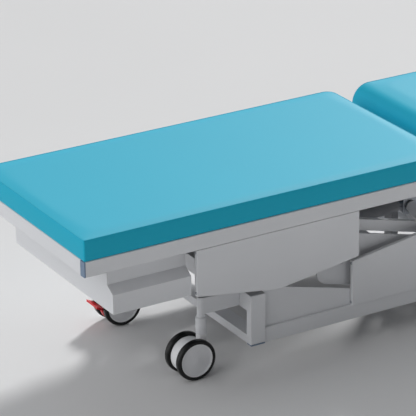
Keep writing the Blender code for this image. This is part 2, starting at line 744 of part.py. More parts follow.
def lift_arms():
    """Deep plate arms, joined behind the base pivot by a torsion tube with the drive lever."""
    half = ARM_DEPTH / 2
    end = ARM_LENGTH + ARM_OVERHANG
    corners = [
        (*arm_place(-ARM_HEEL - HEEL_RADIUS, HEEL_RADIUS), HEEL_RADIUS * 0.9),
        (*arm_place(0, HEEL_RADIUS * 1.2), 0),
        (*arm_place(ARM_TAPER_END, half), 0),
        (*arm_place(end, half), ARM_CORNER),
        (*arm_place(end, -half), ARM_CORNER),
        (*arm_place(ARM_TAPER_END, -half), 0),
        (*arm_place(0, -HEEL_RADIUS * 1.2), 0),
        (*arm_place(-ARM_HEEL - HEEL_RADIUS, -HEEL_RADIUS), HEEL_RADIUS * 0.9),
    ]
    bores = [ring(pivot, ARM_PIN_RADIUS + FIT) for pivot in (BASE_PIVOT, TOP_PIVOT)]
    outer = HALF - ARM_INSET
    inner = outer - ARM_THICKNESS
    for label, side in SIDES:
        plate = prism([rounded(corners, 6)] + bores, "y", *side_span(side, inner, outer))
        node("lift_arm_" + label, plate, "powder", "lift_arms")
    heel = arm_place(-ARM_HEEL, 0)
    reach = inner - FIT
    tube = rod(TORSION_RADIUS, (heel[0], -reach, heel[1]), (heel[0], reach, heel[1]))
    levers = [lever_plate(heel, side) for label, side in SIDES]
    grip = LEVER_INSET + PLATE_THICKNESS
    pin = rod(DRIVE_PIN_RADIUS, (DRIVE_PIN.x, -grip, DRIVE_PIN.y), (DRIVE_PIN.x, grip, DRIVE_PIN.y))
    node("lift_torsion_tube", weld(tube, *levers, pin), "powder", "lift_arms")


def lever_plate(heel, side):
    """Tapered plate from the torsion tube to the drive pin."""
    reach = Vector((DRIVE_PIN.x - heel[0], DRIVE_PIN.y - heel[1]))
    heading = atan2(reach.y, reach.x)
    wide = TORSION_RADIUS + PLATE_THICKNESS
    outline = arc(heel, wide, heading + pi / 2, heading + 3 * pi / 2, 10)
    outline += arc(DRIVE_PIN, LEVER_EYE, heading - pi / 2, heading + pi / 2, 10)
    return prism([outline], "y", *side_span(side, LEVER_INSET, LEVER_INSET + PLATE_THICKNESS))


def guide_arms():
    low = BASE_PIVOT + GUIDE_STEP
    high = TOP_PIVOT + GUIDE_STEP
    heading = atan2(ARM_LINE.y, ARM_LINE.x)
    half = GUIDE_DEPTH / 2
    bar = arc(low, half, heading + pi / 2, heading + 3 * pi / 2, 10)
    bar += arc(high, half, heading - pi / 2, heading + pi / 2, 10)
    bores = [ring(low, GUIDE_PIN_RADIUS + FIT), ring(high, GUIDE_PIN_RADIUS + OPEN_PIVOT_CLEARANCE)]
    outer = HALF - GUIDE_INSET
    for label, side in SIDES:
        arm = prism([bar] + bores, "y", *side_span(side, outer - GUIDE_WIDTH, outer))
        node("guide_arm_" + label, arm, "powder", "guide_arms")


# Actuator
def actuator():
    mount = along(POST_PLACE + POST_WIDTH) + FIT
    motor_start = mount + REAR_BLOCK_LENGTH
    motor_end = motor_start + MOTOR_LENGTH
    motor = prism([rectangle(motor_start, DRIVE_HEIGHT - MOTOR_DROP, motor_end,
                             DRIVE_HEIGHT + MOTOR_RISE, MOTOR_CORNER)],
                  "y", -MOTOR_HALF_WIDTH, MOTOR_HALF_WIDTH)
    rear_top = DRIVE_HEIGHT + BARREL_RADIUS
    rear = block((mount, -REAR_BLOCK_HALF_WIDTH, rear_top - REAR_BLOCK_HEIGHT),
                 (motor_start + MOTOR_CORNER, REAR_BLOCK_HALF_WIDTH, rear_top))
    front = along(BARREL_END)
    base = motor_end - MOTOR_CORNER
    length = front - base
    bore = ROD_RADIUS + FIT
    depth = ROD_INSIDE + YOKE_HALF_LENGTH
    profile = ((0, -depth), (bore, -depth), (bore, 0), (BARREL_RADIUS, 0), (BARREL_RADIUS, -length),
               (0, -length))
    barrel = turned(profile, (front, 0, DRIVE_HEIGHT), (1, 0, 0))
    saddle_top = DRIVE_HEIGHT - BARREL_RADIUS / 2
    saddle_start = along(PIVOT_CROSS_PLACE)
    saddle_end = min(saddle_start + SADDLE_LENGTH, front)
    saddle = block((saddle_start, -SADDLE_HALF_WIDTH, BASE_RAIL_BOTTOM + LOW_CROSS_HEIGHT + FIT),
                   (saddle_end, SADDLE_HALF_WIDTH, saddle_top))
    saddle = boolean(saddle, [rod(BARREL_RADIUS - FIT, (saddle_start - SADDLE_LENGTH, 0, DRIVE_HEIGHT),
                                  (saddle_end + SADDLE_LENGTH, 0, DRIVE_HEIGHT))], "DIFFERENCE")
    inlet_height = DRIVE_HEIGHT + MOTOR_RISE
    inlet_place = motor_start + MOTOR_LENGTH / 2
    inlet = rod(INLET_RADIUS, (inlet_place, 0, inlet_height - INLET_LENGTH),
                (inlet_place, 0, inlet_height + INLET_LENGTH))
    node("actuator_body", weld(motor, rear, barrel, saddle, inlet), "grey_plastic", "base")


def actuator_rod():
    front = along(BARREL_END)
    yoke_start = DRIVE_PIN.x - YOKE_HALF_LENGTH
    slot_half = DRIVE_PIN_RADIUS + OPEN_PIVOT_CLEARANCE
    slot_rise = DRIVE_RISE / 2 + DRIVE_PIN_RADIUS + OPEN_PIVOT_CLEARANCE
    plate = rectangle(yoke_start, DRIVE_HEIGHT - YOKE_HALF_HEIGHT,
                      DRIVE_PIN.x + YOKE_HALF_LENGTH, DRIVE_HEIGHT + YOKE_HALF_HEIGHT, YOKE_CORNER)
    slot = rectangle(DRIVE_PIN.x - slot_half, DRIVE_HEIGHT - slot_rise - FIT,
                     DRIVE_PIN.x + slot_half, DRIVE_HEIGHT + slot_rise + FIT, SLOT_CORNER)
    yoke = prism([plate, slot], "y", -YOKE_HALF_WIDTH, YOKE_HALF_WIDTH)
    shaft = rod(ROD_RADIUS, (front - ROD_INSIDE, 0, DRIVE_HEIGHT),
                (yoke_start + YOKE_HALF_LENGTH / 3, 0, DRIVE_HEIGHT))
    node("actuator_rod", weld(yoke, shaft), "steel", "actuator_rod")


# Base frame
def base_rails():
    start = along(POST_PLACE + POST_WIDTH) + FIT
    end = along(POST_FAR - POST_WIDTH) - FIT
    for label, side in SIDES:
        low, high = side_span(side, BASE_RAIL_INNER, BASE_RAIL_OUTER)
        tube = prism(square_tube(low, BASE_RAIL_BOTTOM, high, BASE_RAIL_TOP), "x", start, end)
        node("base_rail_" + label, tube, "powder", "base")
        outer = BASE_RAIL_OUTER + LOWER_PANEL_PROUD - PANEL_FLANGE - FIT
        foot = BASE_RAIL_TOP + FIT
        outline = ((start, foot), (along(GUSSET_END), foot), (along(GUSSET_END), foot + GUSSET_TIP),
                   (start + GUSSET_FLAT, GUSSET_TOP), (start, GUSSET_TOP))
        plate = prism([outline], "y", *side_span(side, outer - GUSSET_THICKNESS, outer))
        node("base_gusset_" + label, plate, "powder", "base")


def base_ends():
    """Welded end frames: two posts joined by a low and a high cross tube."""
    outer = rectangle(-POST_OUTER, BASE_BOTTOM, POST_OUTER, POST_TOP, TUBE_CORNER)
    gap = rectangle(-POST_INNER, BASE_BOTTOM + LOW_CROSS_HEIGHT, POST_INNER, HIGH_CROSS_BOTTOM)
    cap_top = BASE_BOTTOM - FIT
    for end_label, end in ENDS:
        span = end_span(end, POST_PLACE, POST_PLACE + POST_WIDTH)
        node("base_end_" + end_label, prism([outer, gap], "x", *span), "powder", "base")
        for label, side in SIDES:
            low, high = side_span(side, POST_INNER, POST_OUTER)
            outline = rectangle(span[0], low, span[1], high, TUBE_CORNER)
            cap = prism([outline], "z", cap_top - POST_CAP_THICKNESS, cap_top)
            node("post_cap_" + end_label + "_" + label, cap, "plug", "base")


def outriggers():
    """Beams from the end frames to the round legs that take the caster stems."""
    bore = STEM_RADIUS + FIT
    depth = SOCKET_BOTTOM + STEM_LENGTH + FIT
    flare = SOCKET_BOTTOM + SOCKET_HEIGHT
    profile = (
        (0, POST_TOP), (LEG_RADIUS, POST_TOP), (LEG_RADIUS, flare + (SOCKET_RADIUS - LEG_RADIUS)),
        (SOCKET_RADIUS, flare), (SOCKET_RADIUS, SOCKET_BOTTOM), (bore, SOCKET_BOTTOM),
        (bore, depth), (0, depth),
    )
    for end_label, end in ENDS:
        span = end_span(end, CASTER_PLACE, POST_PLACE - FIT)
        place = span[0] if end < 0 else span[1]
        for label, side in SIDES:
            middle = side * CASTER_HALF_TRACK
            leg = turned(profile, (place, middle, 0), (0, 0, 1), 24)
            half = OUTRIGGER_WIDTH / 2
            beam = prism([rectangle(middle - half, HIGH_CROSS_BOTTOM, middle + half, POST_TOP - FIT,
                                    TUBE_CORNER)], "x", *span)
            node("outrigger_" + end_label + "_" + label, weld(beam, leg), "powder", "base")


# Casters, each drawn about its swivel axis with the wheels trailing to the foot end
def wheel_profile():
    """Two wheels with rounded tyres and flat hub discs, on one axle."""
    tread = WHEEL_RADIUS / cos(pi / WHEEL_STEPS)
    shoulder = WHEEL_WIDTH * 0.28
    lip = HUB_RECESS
    inside = WHEEL_GAP / 2
    hub = tread - TYRE_DEPTH
    half = [
        (0, WHEEL_OUTER - lip), (hub - lip, WHEEL_OUTER - lip), (hub, WHEEL_OUTER - 2 * lip),
        (hub + lip, WHEEL_OUTER - lip), (tread - shoulder * 0.8, WHEEL_OUTER),
        (tread - shoulder * 0.25, WHEEL_OUTER - shoulder * 0.35), (tread, WHEEL_OUTER - shoulder),
        (tread, inside + shoulder), (tread - shoulder * 0.25, inside + shoulder * 0.35),
        (tread - shoulder * 0.8, inside), (AXLE_RADIUS, inside),
    ]
    return half + [(radius, -height) for radius, height in reversed(half)]


def caster_shapes():
    axle = (-TRAIL, WHEEL_RADIUS)
    outline = arc(axle, FENDER_RADIUS, radians(30), radians(235), 20)
    outline += arc(axle, AXLE_RADIUS * 2.4, radians(235), radians(390), 10)
    half = FENDER_WIDTH / 2
    fender = prism([outline, ring(axle, AXLE_RADIUS + FIT)], "y", -half, half)
    boss_top = SOCKET_BOTTOM - FIT
    stem_top = SOCKET_BOTTOM + STEM_LENGTH
    boss = turned(((0, stem_top), (STEM_RADIUS, stem_top), (STEM_RADIUS, boss_top),
                   (BOSS_RADIUS, boss_top), (BOSS_RADIUS, boss_top - BOSS_HEIGHT),
                   (0, boss_top - BOSS_HEIGHT)), (0, 0, 0), (0, 0, 1), 24)
    housing = weld(fender, boss)
    wheels = turned(wheel_profile(), (0, 0, 0), (0, 1, 0), WHEEL_STEPS)
    flat_down = Matrix.Rotation(pi / WHEEL_STEPS, 4, "Y")
    wheels.transform(Matrix.Translation((axle[0], 0, axle[1])) @ flat_down)
    return housing, wheels, pedal_shape(axle)


def pedal_shape(axle):
    """Brake pedal: an arm that follows the fender between the wheels, and a wide tread plate."""
    inner = FENDER_RADIUS + FIT
    middle = (inner + WHEEL_RADIUS) / 2
    outer = WHEEL_RADIUS + PEDAL_CLEARANCE
    tab = outer + PEDAL_THICKNESS
    first = PEDAL_ANGLE
    band = arc(axle, inner, first - radians(3), first + radians(46), 10)
    band += arc(axle, middle, first + radians(46), first + radians(6), 8)
    band += arc(axle, tab, first + radians(5), first + radians(2), 2)
    band += arc(axle, middle, first + radians(1), first - radians(3), 2)
    half = PEDAL_ARM_WIDTH / 2
    arm = prism([band], "y", -half, half)
    turn = PEDAL_THICKNESS / outer
    plate = arc(axle, outer, first, first + turn * 1.6, 2)
    plate += arc(axle, PEDAL_REACH, first + turn, first + turn * 0.2, 2)
    half = PEDAL_WIDTH / 2
    return weld(arm, prism([plate], "y", -half, half))


def casters():
    housing, wheels, pedal = caster_shapes()
    braked = (("foot", "far"), ("head", "near"))
    for end_label, end in ENDS:
        place = along(CASTER_PLACE) if end < 0 else along(CASTER_FAR)
        for label, side in SIDES:
            name = end_label + "_" + label
            spot = Vector((place, side * CASTER_HALF_TRACK, 0))
            axle = spot + Vector((-TRAIL, 0, WHEEL_RADIUS))
            body("caster_" + name, spot, "base")
            body("wheels_" + name, axle, "caster_" + name)
            shapes = [("caster_body_", housing, "white_plastic", "caster_"),
                      ("caster_wheels_", wheels, "tyre", "wheels_")]
            if (end_label, label) in braked:
                body("pedal_" + name, axle, "caster_" + name)
                shapes.append(("brake_pedal_", pedal, "red_plastic", "pedal_"))
            for prefix, shape, finish, body_prefix in shapes:
                copy = shape.copy()
                copy.transform(Matrix.Translation(spot))
                node(prefix + name, copy, finish, body_prefix + name)


def main():
    make_bodies()
    side_rails()
    top_crosses()
    mattresses()
    side_panels()
    drawer_housing()
    drawer()
    backrest()
    hangers()
    base_brackets()
    lift_arms()
    guide_arms()
    actuator()
    actuator_rod()
    base_rails()
    base_ends()
    outriggers()
    casters()


main()
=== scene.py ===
"""Looks of the examination table: mattresses, wheels, pedals, fasteners, finishes and a plain studio.

Lengths are metres in the part's own frame: +X to the head end, +Y to the far long side, +Z up.
"""

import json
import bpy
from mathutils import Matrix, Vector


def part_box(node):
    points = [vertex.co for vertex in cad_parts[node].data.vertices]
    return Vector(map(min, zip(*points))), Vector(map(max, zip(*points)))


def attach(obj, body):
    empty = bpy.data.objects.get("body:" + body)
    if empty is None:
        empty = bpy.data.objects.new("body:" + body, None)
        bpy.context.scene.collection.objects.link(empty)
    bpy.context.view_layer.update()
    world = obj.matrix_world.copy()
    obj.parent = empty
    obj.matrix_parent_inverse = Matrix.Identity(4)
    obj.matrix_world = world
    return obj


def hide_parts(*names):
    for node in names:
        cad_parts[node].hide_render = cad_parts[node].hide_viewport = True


bl_info = {
    "name": "Examination Table Looks",
    "version": (1, 0, 0),
    "blender": (4, 5, 0),
    "location": "3D View > Sidebar > Table",
    "description": "Dresses the packed examination table and sets up a studio around it",
    "category": "Object",
}

from math import atan, copysign, hypot, pi, radians

import bmesh
import bpy
from bpy.props import FloatProperty, FloatVectorProperty, IntProperty, PointerProperty
from mathutils import Matrix, Vector

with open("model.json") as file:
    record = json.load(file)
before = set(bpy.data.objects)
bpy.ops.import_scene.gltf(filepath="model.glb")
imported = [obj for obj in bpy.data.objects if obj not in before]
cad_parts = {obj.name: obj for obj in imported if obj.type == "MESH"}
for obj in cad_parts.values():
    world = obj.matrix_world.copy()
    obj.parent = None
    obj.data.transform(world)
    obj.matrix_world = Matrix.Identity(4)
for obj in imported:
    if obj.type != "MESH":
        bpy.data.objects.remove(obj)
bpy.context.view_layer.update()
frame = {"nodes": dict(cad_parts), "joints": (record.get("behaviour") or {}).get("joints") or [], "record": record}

CASTERS = ("foot_near", "foot_far", "head_near", "head_far")
BRAKED_CASTERS = ("foot_far", "head_near")
SIDES = {"near": -1, "far": 1}
JOINT_PLACE = {row["name"]: Vector(row.get("pos_m", (0, 0, 0))) for row in frame["joints"]}
SLOT_OF_NODE = {row["node"]: row["material_slot"] for row in frame["record"]["subparts"]}
FINISH_NAMES = {
    "powder_coat": "polyester_powder_coat",
    "vinyl": "coated_upholstery_vinyl",
    "plug_plastic": "polyethylene_end_plug",
    "tyre": "polyurethane_tyre",
    "caster_plastic": "nylon_caster",
    "hub_disc": "nylon_hub_disc",
    "red_plastic": "abs_brake_pedal",
    "grey_plastic": "abs_actuator_housing",
    "steel": "zinc_plated_steel",
    "plywood": "film_faced_plywood",
}

# Studio, measured from the photograph
CAMERA_PLACE = Vector((-4.034, -6.3106, 3.4592))
CAMERA_RIGHT = Vector((0.86152232, -0.50757176, -0.01225594))
CAMERA_UP = Vector((0.20567693, 0.32683065, 0.92243088))
BRIGHT_SIDE = (-0.54, 0.80, 0.25)
KEY_AIM = (-0.75, -0.62, -0.5)
FILL_AIM = (0.87, -0.03, -0.48)
STRIP_PLACE = (-0.1, -2.2, 0.42)
SKY_TINT = "#FBFCFF"

# Mesh tests: the angle that makes an edge sharp, the bend that marks a rounded edge's points, and the
# shares of upright and of facing that count as such
SHARP_EDGE = radians(50)
BENT_CORNER = radians(6)
STEEP_SHARE = 0.95
FACING_SHARE = 0.9
MERGE_DISTANCE = 0.00002

# How far a rounded edge lies inside its square corner, on each axis, for a radius of 1
ROUND_DEPTH = 0.29

# Faces that meet at less than this many degrees are shaded as one surface
SMOOTH_ANGLE = 40
SOFT_ANGLE = 60
TURNED_ANGLE = 30

# Facets of round pieces, and steps across a rounded edge
WHEEL_FACETS = 72
WASHER_FACETS = 40
SCREW_FACETS = 24
HEXAGON = 6
TYRE_STEPS = 6
PAD_STEPS = 4
CORD_STEPS = 3
SCREW_STEPS = 3
RIB_STEPS = 3
WASHER_STEPS = 2


# Small tools
def linear(code):
    """Linear RGBA of an sRGB hex colour."""
    channels = [int(code[place:place + 2], 16) / 255 for place in (1, 3, 5)]
    straight = [c / 12.92 if c <= 0.04045 else ((c + 0.055) / 1.055) ** 2.4 for c in channels]
    return (*straight, 1.0)


def per_mm(size):
    """Texture scale that repeats once in so many millimetres on metre coordinates."""
    return 1000.0 / size


def add_node(tree, kind, inputs=None, **settings):
    """One node with its settings; an input is a value, or the socket that feeds it."""
    node = tree.nodes.new(kind)
    for name, value in settings.items():
        setattr(node, name, value)
    for name, value in (inputs or {}).items():
        if isinstance(value, bpy.types.NodeSocket):
            tree.links.new(value, node.inputs[name])
        else:
            node.inputs[name].default_value = value
    return node


def blank_material(name):
    """New material with no nodes but the Object coordinates that its patterns read."""
    made = bpy.data.materials.new(name)
    made.use_nodes = True
    tree = made.node_tree
    tree.nodes.clear()
    place = add_node(tree, "ShaderNodeTexCoord").outputs["Object"]
    return made, tree, place


def start_clean():
    """Object mode with nothing selected."""
    if bpy.context.object and bpy.context.object.mode != "OBJECT":
        bpy.ops.object.mode_set(mode="OBJECT")
    bpy.ops.object.select_all(action="DESELECT")


def only(piece):
    """Makes the piece the active and only selected object."""
    start_clean()
    piece.select_set(True)
    bpy.context.view_layer.objects.active = piece


def select_where(kind, test):
    """In edit mode, selects just the verts, edges or faces that pass the test."""
    mesh = bpy.context.object.data
    bpy.ops.mesh.select_mode(type=kind)
    bpy.ops.mesh.select_all(action="DESELECT")
    work = bmesh.from_edit_mesh(mesh)
    work.normal_update()
    items = {"VERT": work.verts, "EDGE": work.edges, "FACE": work.faces}[kind]
    found = [item for item in items if test(item)]
    if not found:
        raise RuntimeError("nothing to select on " + bpy.context.object.name)
    for item in found:
        item.select_set(True)
    work.select_flush_mode()
    bmesh.update_edit_mesh(mesh)


def looks(direction):
    """Test for faces that look along the direction."""
    return lambda face: face.normal.dot(Vector(direction)) > FACING_SHARE


def close_mesh(piece):
    """Merges doubles and turns all faces outwards."""
    only(piece)
    bpy.ops.object.mode_set(mode="EDIT")
    bpy.ops.mesh.select_all(action="SELECT")
    bpy.ops.mesh.remove_doubles(threshold=MERGE_DISTANCE)
    bpy.ops.mesh.normals_make_consistent(inside=False)
    bpy.ops.object.mode_set(mode="OBJECT")


def smoothed(piece, levels):
    """Subdivision, applied."""
    only(piece)
    rounding = piece.modifiers.new("Rounding", "SUBSURF")
    rounding.levels = levels
    rounding.render_levels = levels
    bpy.ops.object.modifier_apply(modifier=rounding.name)


def settle(piece, name, body, slot, finish=None, angle=SMOOTH_ANGLE):
    """Last steps of a piece: name, transforms applied, smooth shading, finish, slot and body."""
    only(piece)
    piece.name = name
    piece.data.name = name
    bpy.ops.object.transform_apply(location=True, rotation=True, scale=True)
    bpy.ops.object.shade_smooth_by_angle(angle=radians(angle))
    piece.data.materials.clear()
    piece.data.materials.append(finish_of(finish or slot))
    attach(piece, body)


def copy_of(piece, move):
    """Copy with a mesh of its own, moved by the matrix."""
    twin = piece.copy()
    twin.data = piece.data.copy()
    bpy.context.scene.collection.objects.link(twin)
    twin.data.transform(move)
    return twin


def facing(place, direction):
    """Matrix that takes a piece from the origin, where it looks along +Z, to the place and direction."""
    turn = Vector((0, 0, 1)).rotation_difference(Vector(direction))
    return Matrix.Translation(place) @ turn.to_matrix().to_4x4()


def joined(pieces):
    """All the pieces as one, which is the first of them."""
    start_clean()
    for piece in pieces:
        piece.select_set(True)
    bpy.context.view_layer.objects.active = pieces[0]
    bpy.ops.object.join()
    return pieces[0]


def remove(piece):
    """Takes away a blank that has been copied, and its mesh."""
    mesh = piece.data
    bpy.data.objects.remove(piece)
    bpy.data.meshes.remove(mesh)


def finish_of(slot):
    """Material made for a slot of the record, or for the hub discs."""
    made = bpy.data.materials.get(FINISH_NAMES[slot])
    if made is None:
        raise RuntimeError("the finishes are made before the pieces")
    return made


# Finishes
def polyester_powder_coat(colours):
    """Steel under baked white polyester powder: satin, faintly cool, with a soft orange-peel ripple.

    Powder flows back from edges as it bakes, so they are rounded and catch the light; on top of that,
    a painted highlight lightens the colour along sharp edges. Real peel is
    1 to 2 mm across, which is under a pixel here, so it is drawn at 7 mm.
    """
    made, tree, place = blank_material(FINISH_NAMES["powder_coat"])
    peel = add_node(tree, "ShaderNodeTexNoise", {"Vector": place, "Scale": per_mm(7), "Detail": 3.0})
    cloud = add_node(tree, "ShaderNodeTexNoise", {"Vector": place, "Scale": per_mm(160), "Detail": 2.0})
    edge = add_node(tree, "ShaderNodeBevel", {"Radius": 0.002}, samples=6)
    flat = add_node(tree, "ShaderNodeNewGeometry")
    turn = add_node(tree, "ShaderNodeVectorMath", {
        0: edge.outputs["Normal"], 1: flat.outputs["True Normal"]}, operation="DOT_PRODUCT")
    # Painted highlight: this mask marks the edges, where the bevelled normal turns from the flat one
    painted_edge_highlight = add_node(tree, "ShaderNodeMapRange", {
        "Value": turn.outputs["Value"], "From Min": 0.97, "From Max": 0.80})
    coat = add_node(tree, "ShaderNodeMix", {
        0: cloud.outputs["Fac"], 6: colours.powder_shade, 7: colours.powder}, data_type="RGBA")
    # Painted highlight: a lighter colour mixed into the coat along that edge mask
    paint = add_node(tree, "ShaderNodeMix", {
        0: painted_edge_highlight.outputs["Result"], 6: coat.outputs[2], 7: colours.powder_painted_highlight}, data_type="RGBA")
    bump = add_node(tree, "ShaderNodeBump", {
        "Height": peel.outputs["Fac"], "Strength": 0.06, "Distance": 0.0004,
        "Normal": edge.outputs["Normal"]})
    gloss = add_node(tree, "ShaderNodeMapRange", {
        "Value": peel.outputs["Fac"], "From Min": 0.3, "From Max": 0.7, "To Min": 0.38, "To Max": 0.48})
    shader = add_node(tree, "ShaderNodeBsdfPrincipled", {
        "Base Color": paint.outputs[2], "Roughness": gloss.outputs["Result"],
        "Normal": bump.outputs["Normal"], "IOR": 1.5})
    add_node(tree, "ShaderNodeOutputMaterial", {"Surface": shader.outputs["BSDF"]})
    return made


def coated_upholstery_vinyl(colours):
    """Calendered vinyl on knitted cloth: a fine leather grain under a satin wipe-clean skin.

    Real grain is about 1 mm, which is under a pixel here, so it is drawn at 3 mm.
    """
    made, tree, place = blank_material(FINISH_NAMES["vinyl"])
    grain = add_node(tree, "ShaderNodeTexVoronoi", {"Vector": place, "Scale": per_mm(3)},
                     feature="DISTANCE_TO_EDGE")
    slack = add_node(tree, "ShaderNodeTexNoise", {"Vector": place, "Scale": per_mm(240), "Detail": 1.0})
    bump = add_node(tree, "ShaderNodeBump", {
        "Height": grain.outputs["Distance"], "Strength": 0.10, "Distance": 0.0005})
    gloss = add_node(tree, "ShaderNodeMapRange", {
        "Value": grain.outputs["Distance"], "From Min": 0.0, "From Max": 0.4,
        "To Min": 0.62, "To Max": 0.54})
    skin = add_node(tree, "ShaderNodeMix", {
        0: slack.outputs["Fac"], 6: colours.vinyl_shade, 7: colours.vinyl}, data_type="RGBA")
    shader = add_node(tree, "ShaderNodeBsdfPrincipled", {
        "Base Color": skin.outputs[2], "Roughness": gloss.outputs["Result"],
        "Normal": bump.outputs["Normal"], "Specular IOR Level": 0.36})
    add_node(tree, "ShaderNodeOutputMaterial", {"Surface": shader.outputs["BSDF"]})
    return made


def moulded_plastic(slot, light, dark, smooth, rough):
    """Injection-moulded plastic: even colour with a light spark-eroded grain from the mould.

    Mould grain is about 0.5 mm, drawn at 2 mm so that it shows in close views.
    """
    made, tree, place = blank_material(FINISH_NAMES[slot])
    grain = add_node(tree, "ShaderNodeTexNoise", {"Vector": place, "Scale": per_mm(2), "Detail": 2.0})
    flow = add_node(tree, "ShaderNodeTexNoise", {"Vector": place, "Scale": per_mm(40), "Detail": 1.0})
    edge = add_node(tree, "ShaderNodeBevel", {"Radius": 0.0008}, samples=4)
    bump = add_node(tree, "ShaderNodeBump", {
        "Height": grain.outputs["Fac"], "Strength": 0.08, "Distance": 0.0003,
        "Normal": edge.outputs["Normal"]})
    gloss = add_node(tree, "ShaderNodeMapRange", {
        "Value": grain.outputs["Fac"], "From Min": 0.3, "From Max": 0.7, "To Min": smooth, "To Max": rough})
    tint = add_node(tree, "ShaderNodeMix", {0: flow.outputs["Fac"], 6: dark, 7: light}, data_type="RGBA")
    shader = add_node(tree, "ShaderNodeBsdfPrincipled", {
        "Base Color": tint.outputs[2], "Roughness": gloss.outputs["Result"],
        "Normal": bump.outputs["Normal"], "IOR": 1.49})
    add_node(tree, "ShaderNodeOutputMaterial", {"Surface": shader.outputs["BSDF"]})
    return made


def zinc_plated_steel(colours):
    """Bright zinc plating on turned steel: pale metal with a dull bloom and fine tool marks."""
    made, tree, place = blank_material(FINISH_NAMES["steel"])
    bloom = add_node(tree, "ShaderNodeTexNoise", {"Vector": place, "Scale": per_mm(12), "Detail": 4.0})
    marks = add_node(tree, "ShaderNodeTexNoise", {"Vector": place, "Scale": per_mm(1.2), "Detail": 2.0})
    bump = add_node(tree, "ShaderNodeBump", {
        "Height": marks.outputs["Fac"], "Strength": 0.1, "Distance": 0.0002})
    gloss = add_node(tree, "ShaderNodeMapRange", {
        "Value": bloom.outputs["Fac"], "From Min": 0.3, "From Max": 0.7, "To Min": 0.26, "To Max": 0.42})
    plating = add_node(tree, "ShaderNodeMix", {
        0: bloom.outputs["Fac"], 6: colours.zinc_shade, 7: colours.zinc}, data_type="RGBA")
    shader = add_node(tree, "ShaderNodeBsdfPrincipled", {
        "Base Color": plating.outputs[2], "Metallic": 1.0, "Roughness": gloss.outputs["Result"],
        "Normal": bump.outputs["Normal"]})
    add_node(tree, "ShaderNodeOutputMaterial", {"Surface": shader.outputs["BSDF"]})
    return made


def film_faced_plywood(colours):
    """Birch plywood under dark phenolic film: smooth dark faces, and 1.4 mm plies along its sawn edge."""
    made, tree, place = blank_material(FINISH_NAMES["plywood"])
    stretched = add_node(tree, "ShaderNodeMapping", {"Vector": place, "Scale": (0.08, 1.0, 1.0)})
    streaks = add_node(tree, "ShaderNodeTexNoise", {
        "Vector": stretched.outputs["Vector"], "Scale": per_mm(9), "Detail": 5.0, "Distortion": 0.6})
    plies = add_node(tree, "ShaderNodeTexWave", {"Vector": place, "Scale": per_mm(1.4) / (2 * pi)},
                     wave_type="BANDS", bands_direction="Z")
    upright = add_node(tree, "ShaderNodeTexCoord").outputs["Normal"]
    parts = add_node(tree, "ShaderNodeSeparateXYZ", {"Vector": upright})
    face = add_node(tree, "ShaderNodeMath", {0: parts.outputs["Z"]}, operation="ABSOLUTE")
    film = add_node(tree, "ShaderNodeMix", {
        0: streaks.outputs["Fac"], 6: colours.film_streak, 7: colours.film}, data_type="RGBA")
    sawn = add_node(tree, "ShaderNodeMix", {
        0: plies.outputs["Fac"], 6: colours.film_streak, 7: colours.ply}, data_type="RGBA")
    board = add_node(tree, "ShaderNodeMix", {
        0: face.outputs["Value"], 6: sawn.outputs[2], 7: film.outputs[2]}, data_type="RGBA")
    bump = add_node(tree, "ShaderNodeBump", {
        "Height": plies.outputs["Fac"], "Strength": 0.15, "Distance": 0.0003})
    shader = add_node(tree, "ShaderNodeBsdfPrincipled", {
        "Base Color": board.outputs[2], "Roughness": 0.5, "Normal": bump.outputs["Normal"]})
    add_node(tree, "ShaderNodeOutputMaterial", {"Surface": shader.outputs["BSDF"]})
    return made


def polyurethane_tyre(colours):
    """Moulded polyurethane tyre: near black and satin, with a dusty bloom."""
    made, tree, place = blank_material(FINISH_NAMES["tyre"])
    dust = add_node(tree, "ShaderNodeTexNoise", {"Vector": place, "Scale": per_mm(14), "Detail": 5.0})
    bump = add_node(tree, "ShaderNodeBump", {
        "Height": dust.outputs["Fac"], "Strength": 0.08, "Distance": 0.0004})
    bloom = add_node(tree, "ShaderNodeMapRange", {
        "Value": dust.outputs["Fac"], "From Min": 0.35, "From Max": 0.8})
    rubber = add_node(tree, "ShaderNodeMix", {
        0: bloom.outputs["Result"], 6: colours.tyre, 7: colours.tyre_dust}, data_type="RGBA")
    shader = add_node(tree, "ShaderNodeBsdfPrincipled", {
        "Base Color": rubber.outputs[2], "Roughness": 0.30, "Normal": bump.outputs["Normal"],
        "Specular IOR Level": 0.4})
    add_node(tree, "ShaderNodeOutputMaterial", {"Surface": shader.outputs["BSDF"]})
    return made


def studio_floor_paint(studio):
    """Matt seamless studio floor, rolled on in slightly uneven coats."""
    made, tree, place = blank_material("studio_floor_paint")
    coats = add_node(tree, "ShaderNodeTexNoise", {"Vector": place, "Scale": per_mm(900), "Detail": 1.0})
    grit = add_node(tree, "ShaderNodeTexNoise", {"Vector": place, "Scale": per_mm(5), "Detail": 2.0})
    bump = add_node(tree, "ShaderNodeBump", {
        "Height": grit.outputs["Fac"], "Strength": 0.02, "Distance": 0.0003})
    paint = add_node(tree, "ShaderNodeMix", {
        0: coats.outputs["Fac"], 6: studio.floor_shade, 7: studio.floor}, data_type="RGBA")
    shader = add_node(tree, "ShaderNodeBsdfPrincipled", {
        "Base Color": paint.outputs[2], "Roughness": 0.75, "Specular IOR Level": 0.2,
        "Normal": bump.outputs["Normal"]})
    add_node(tree, "ShaderNodeOutputMaterial", {"Surface": shader.outputs["BSDF"]})
    return made


# Mattresses
def rounded(spot, pivot, first, second):
    """Spot moved as a square corner beyond the pivot turns round; first and second are its ways out."""
    if min(first, second) <= 0:
        return spot
    return pivot + (spot - pivot) * (max(first, second) / hypot(first, second))


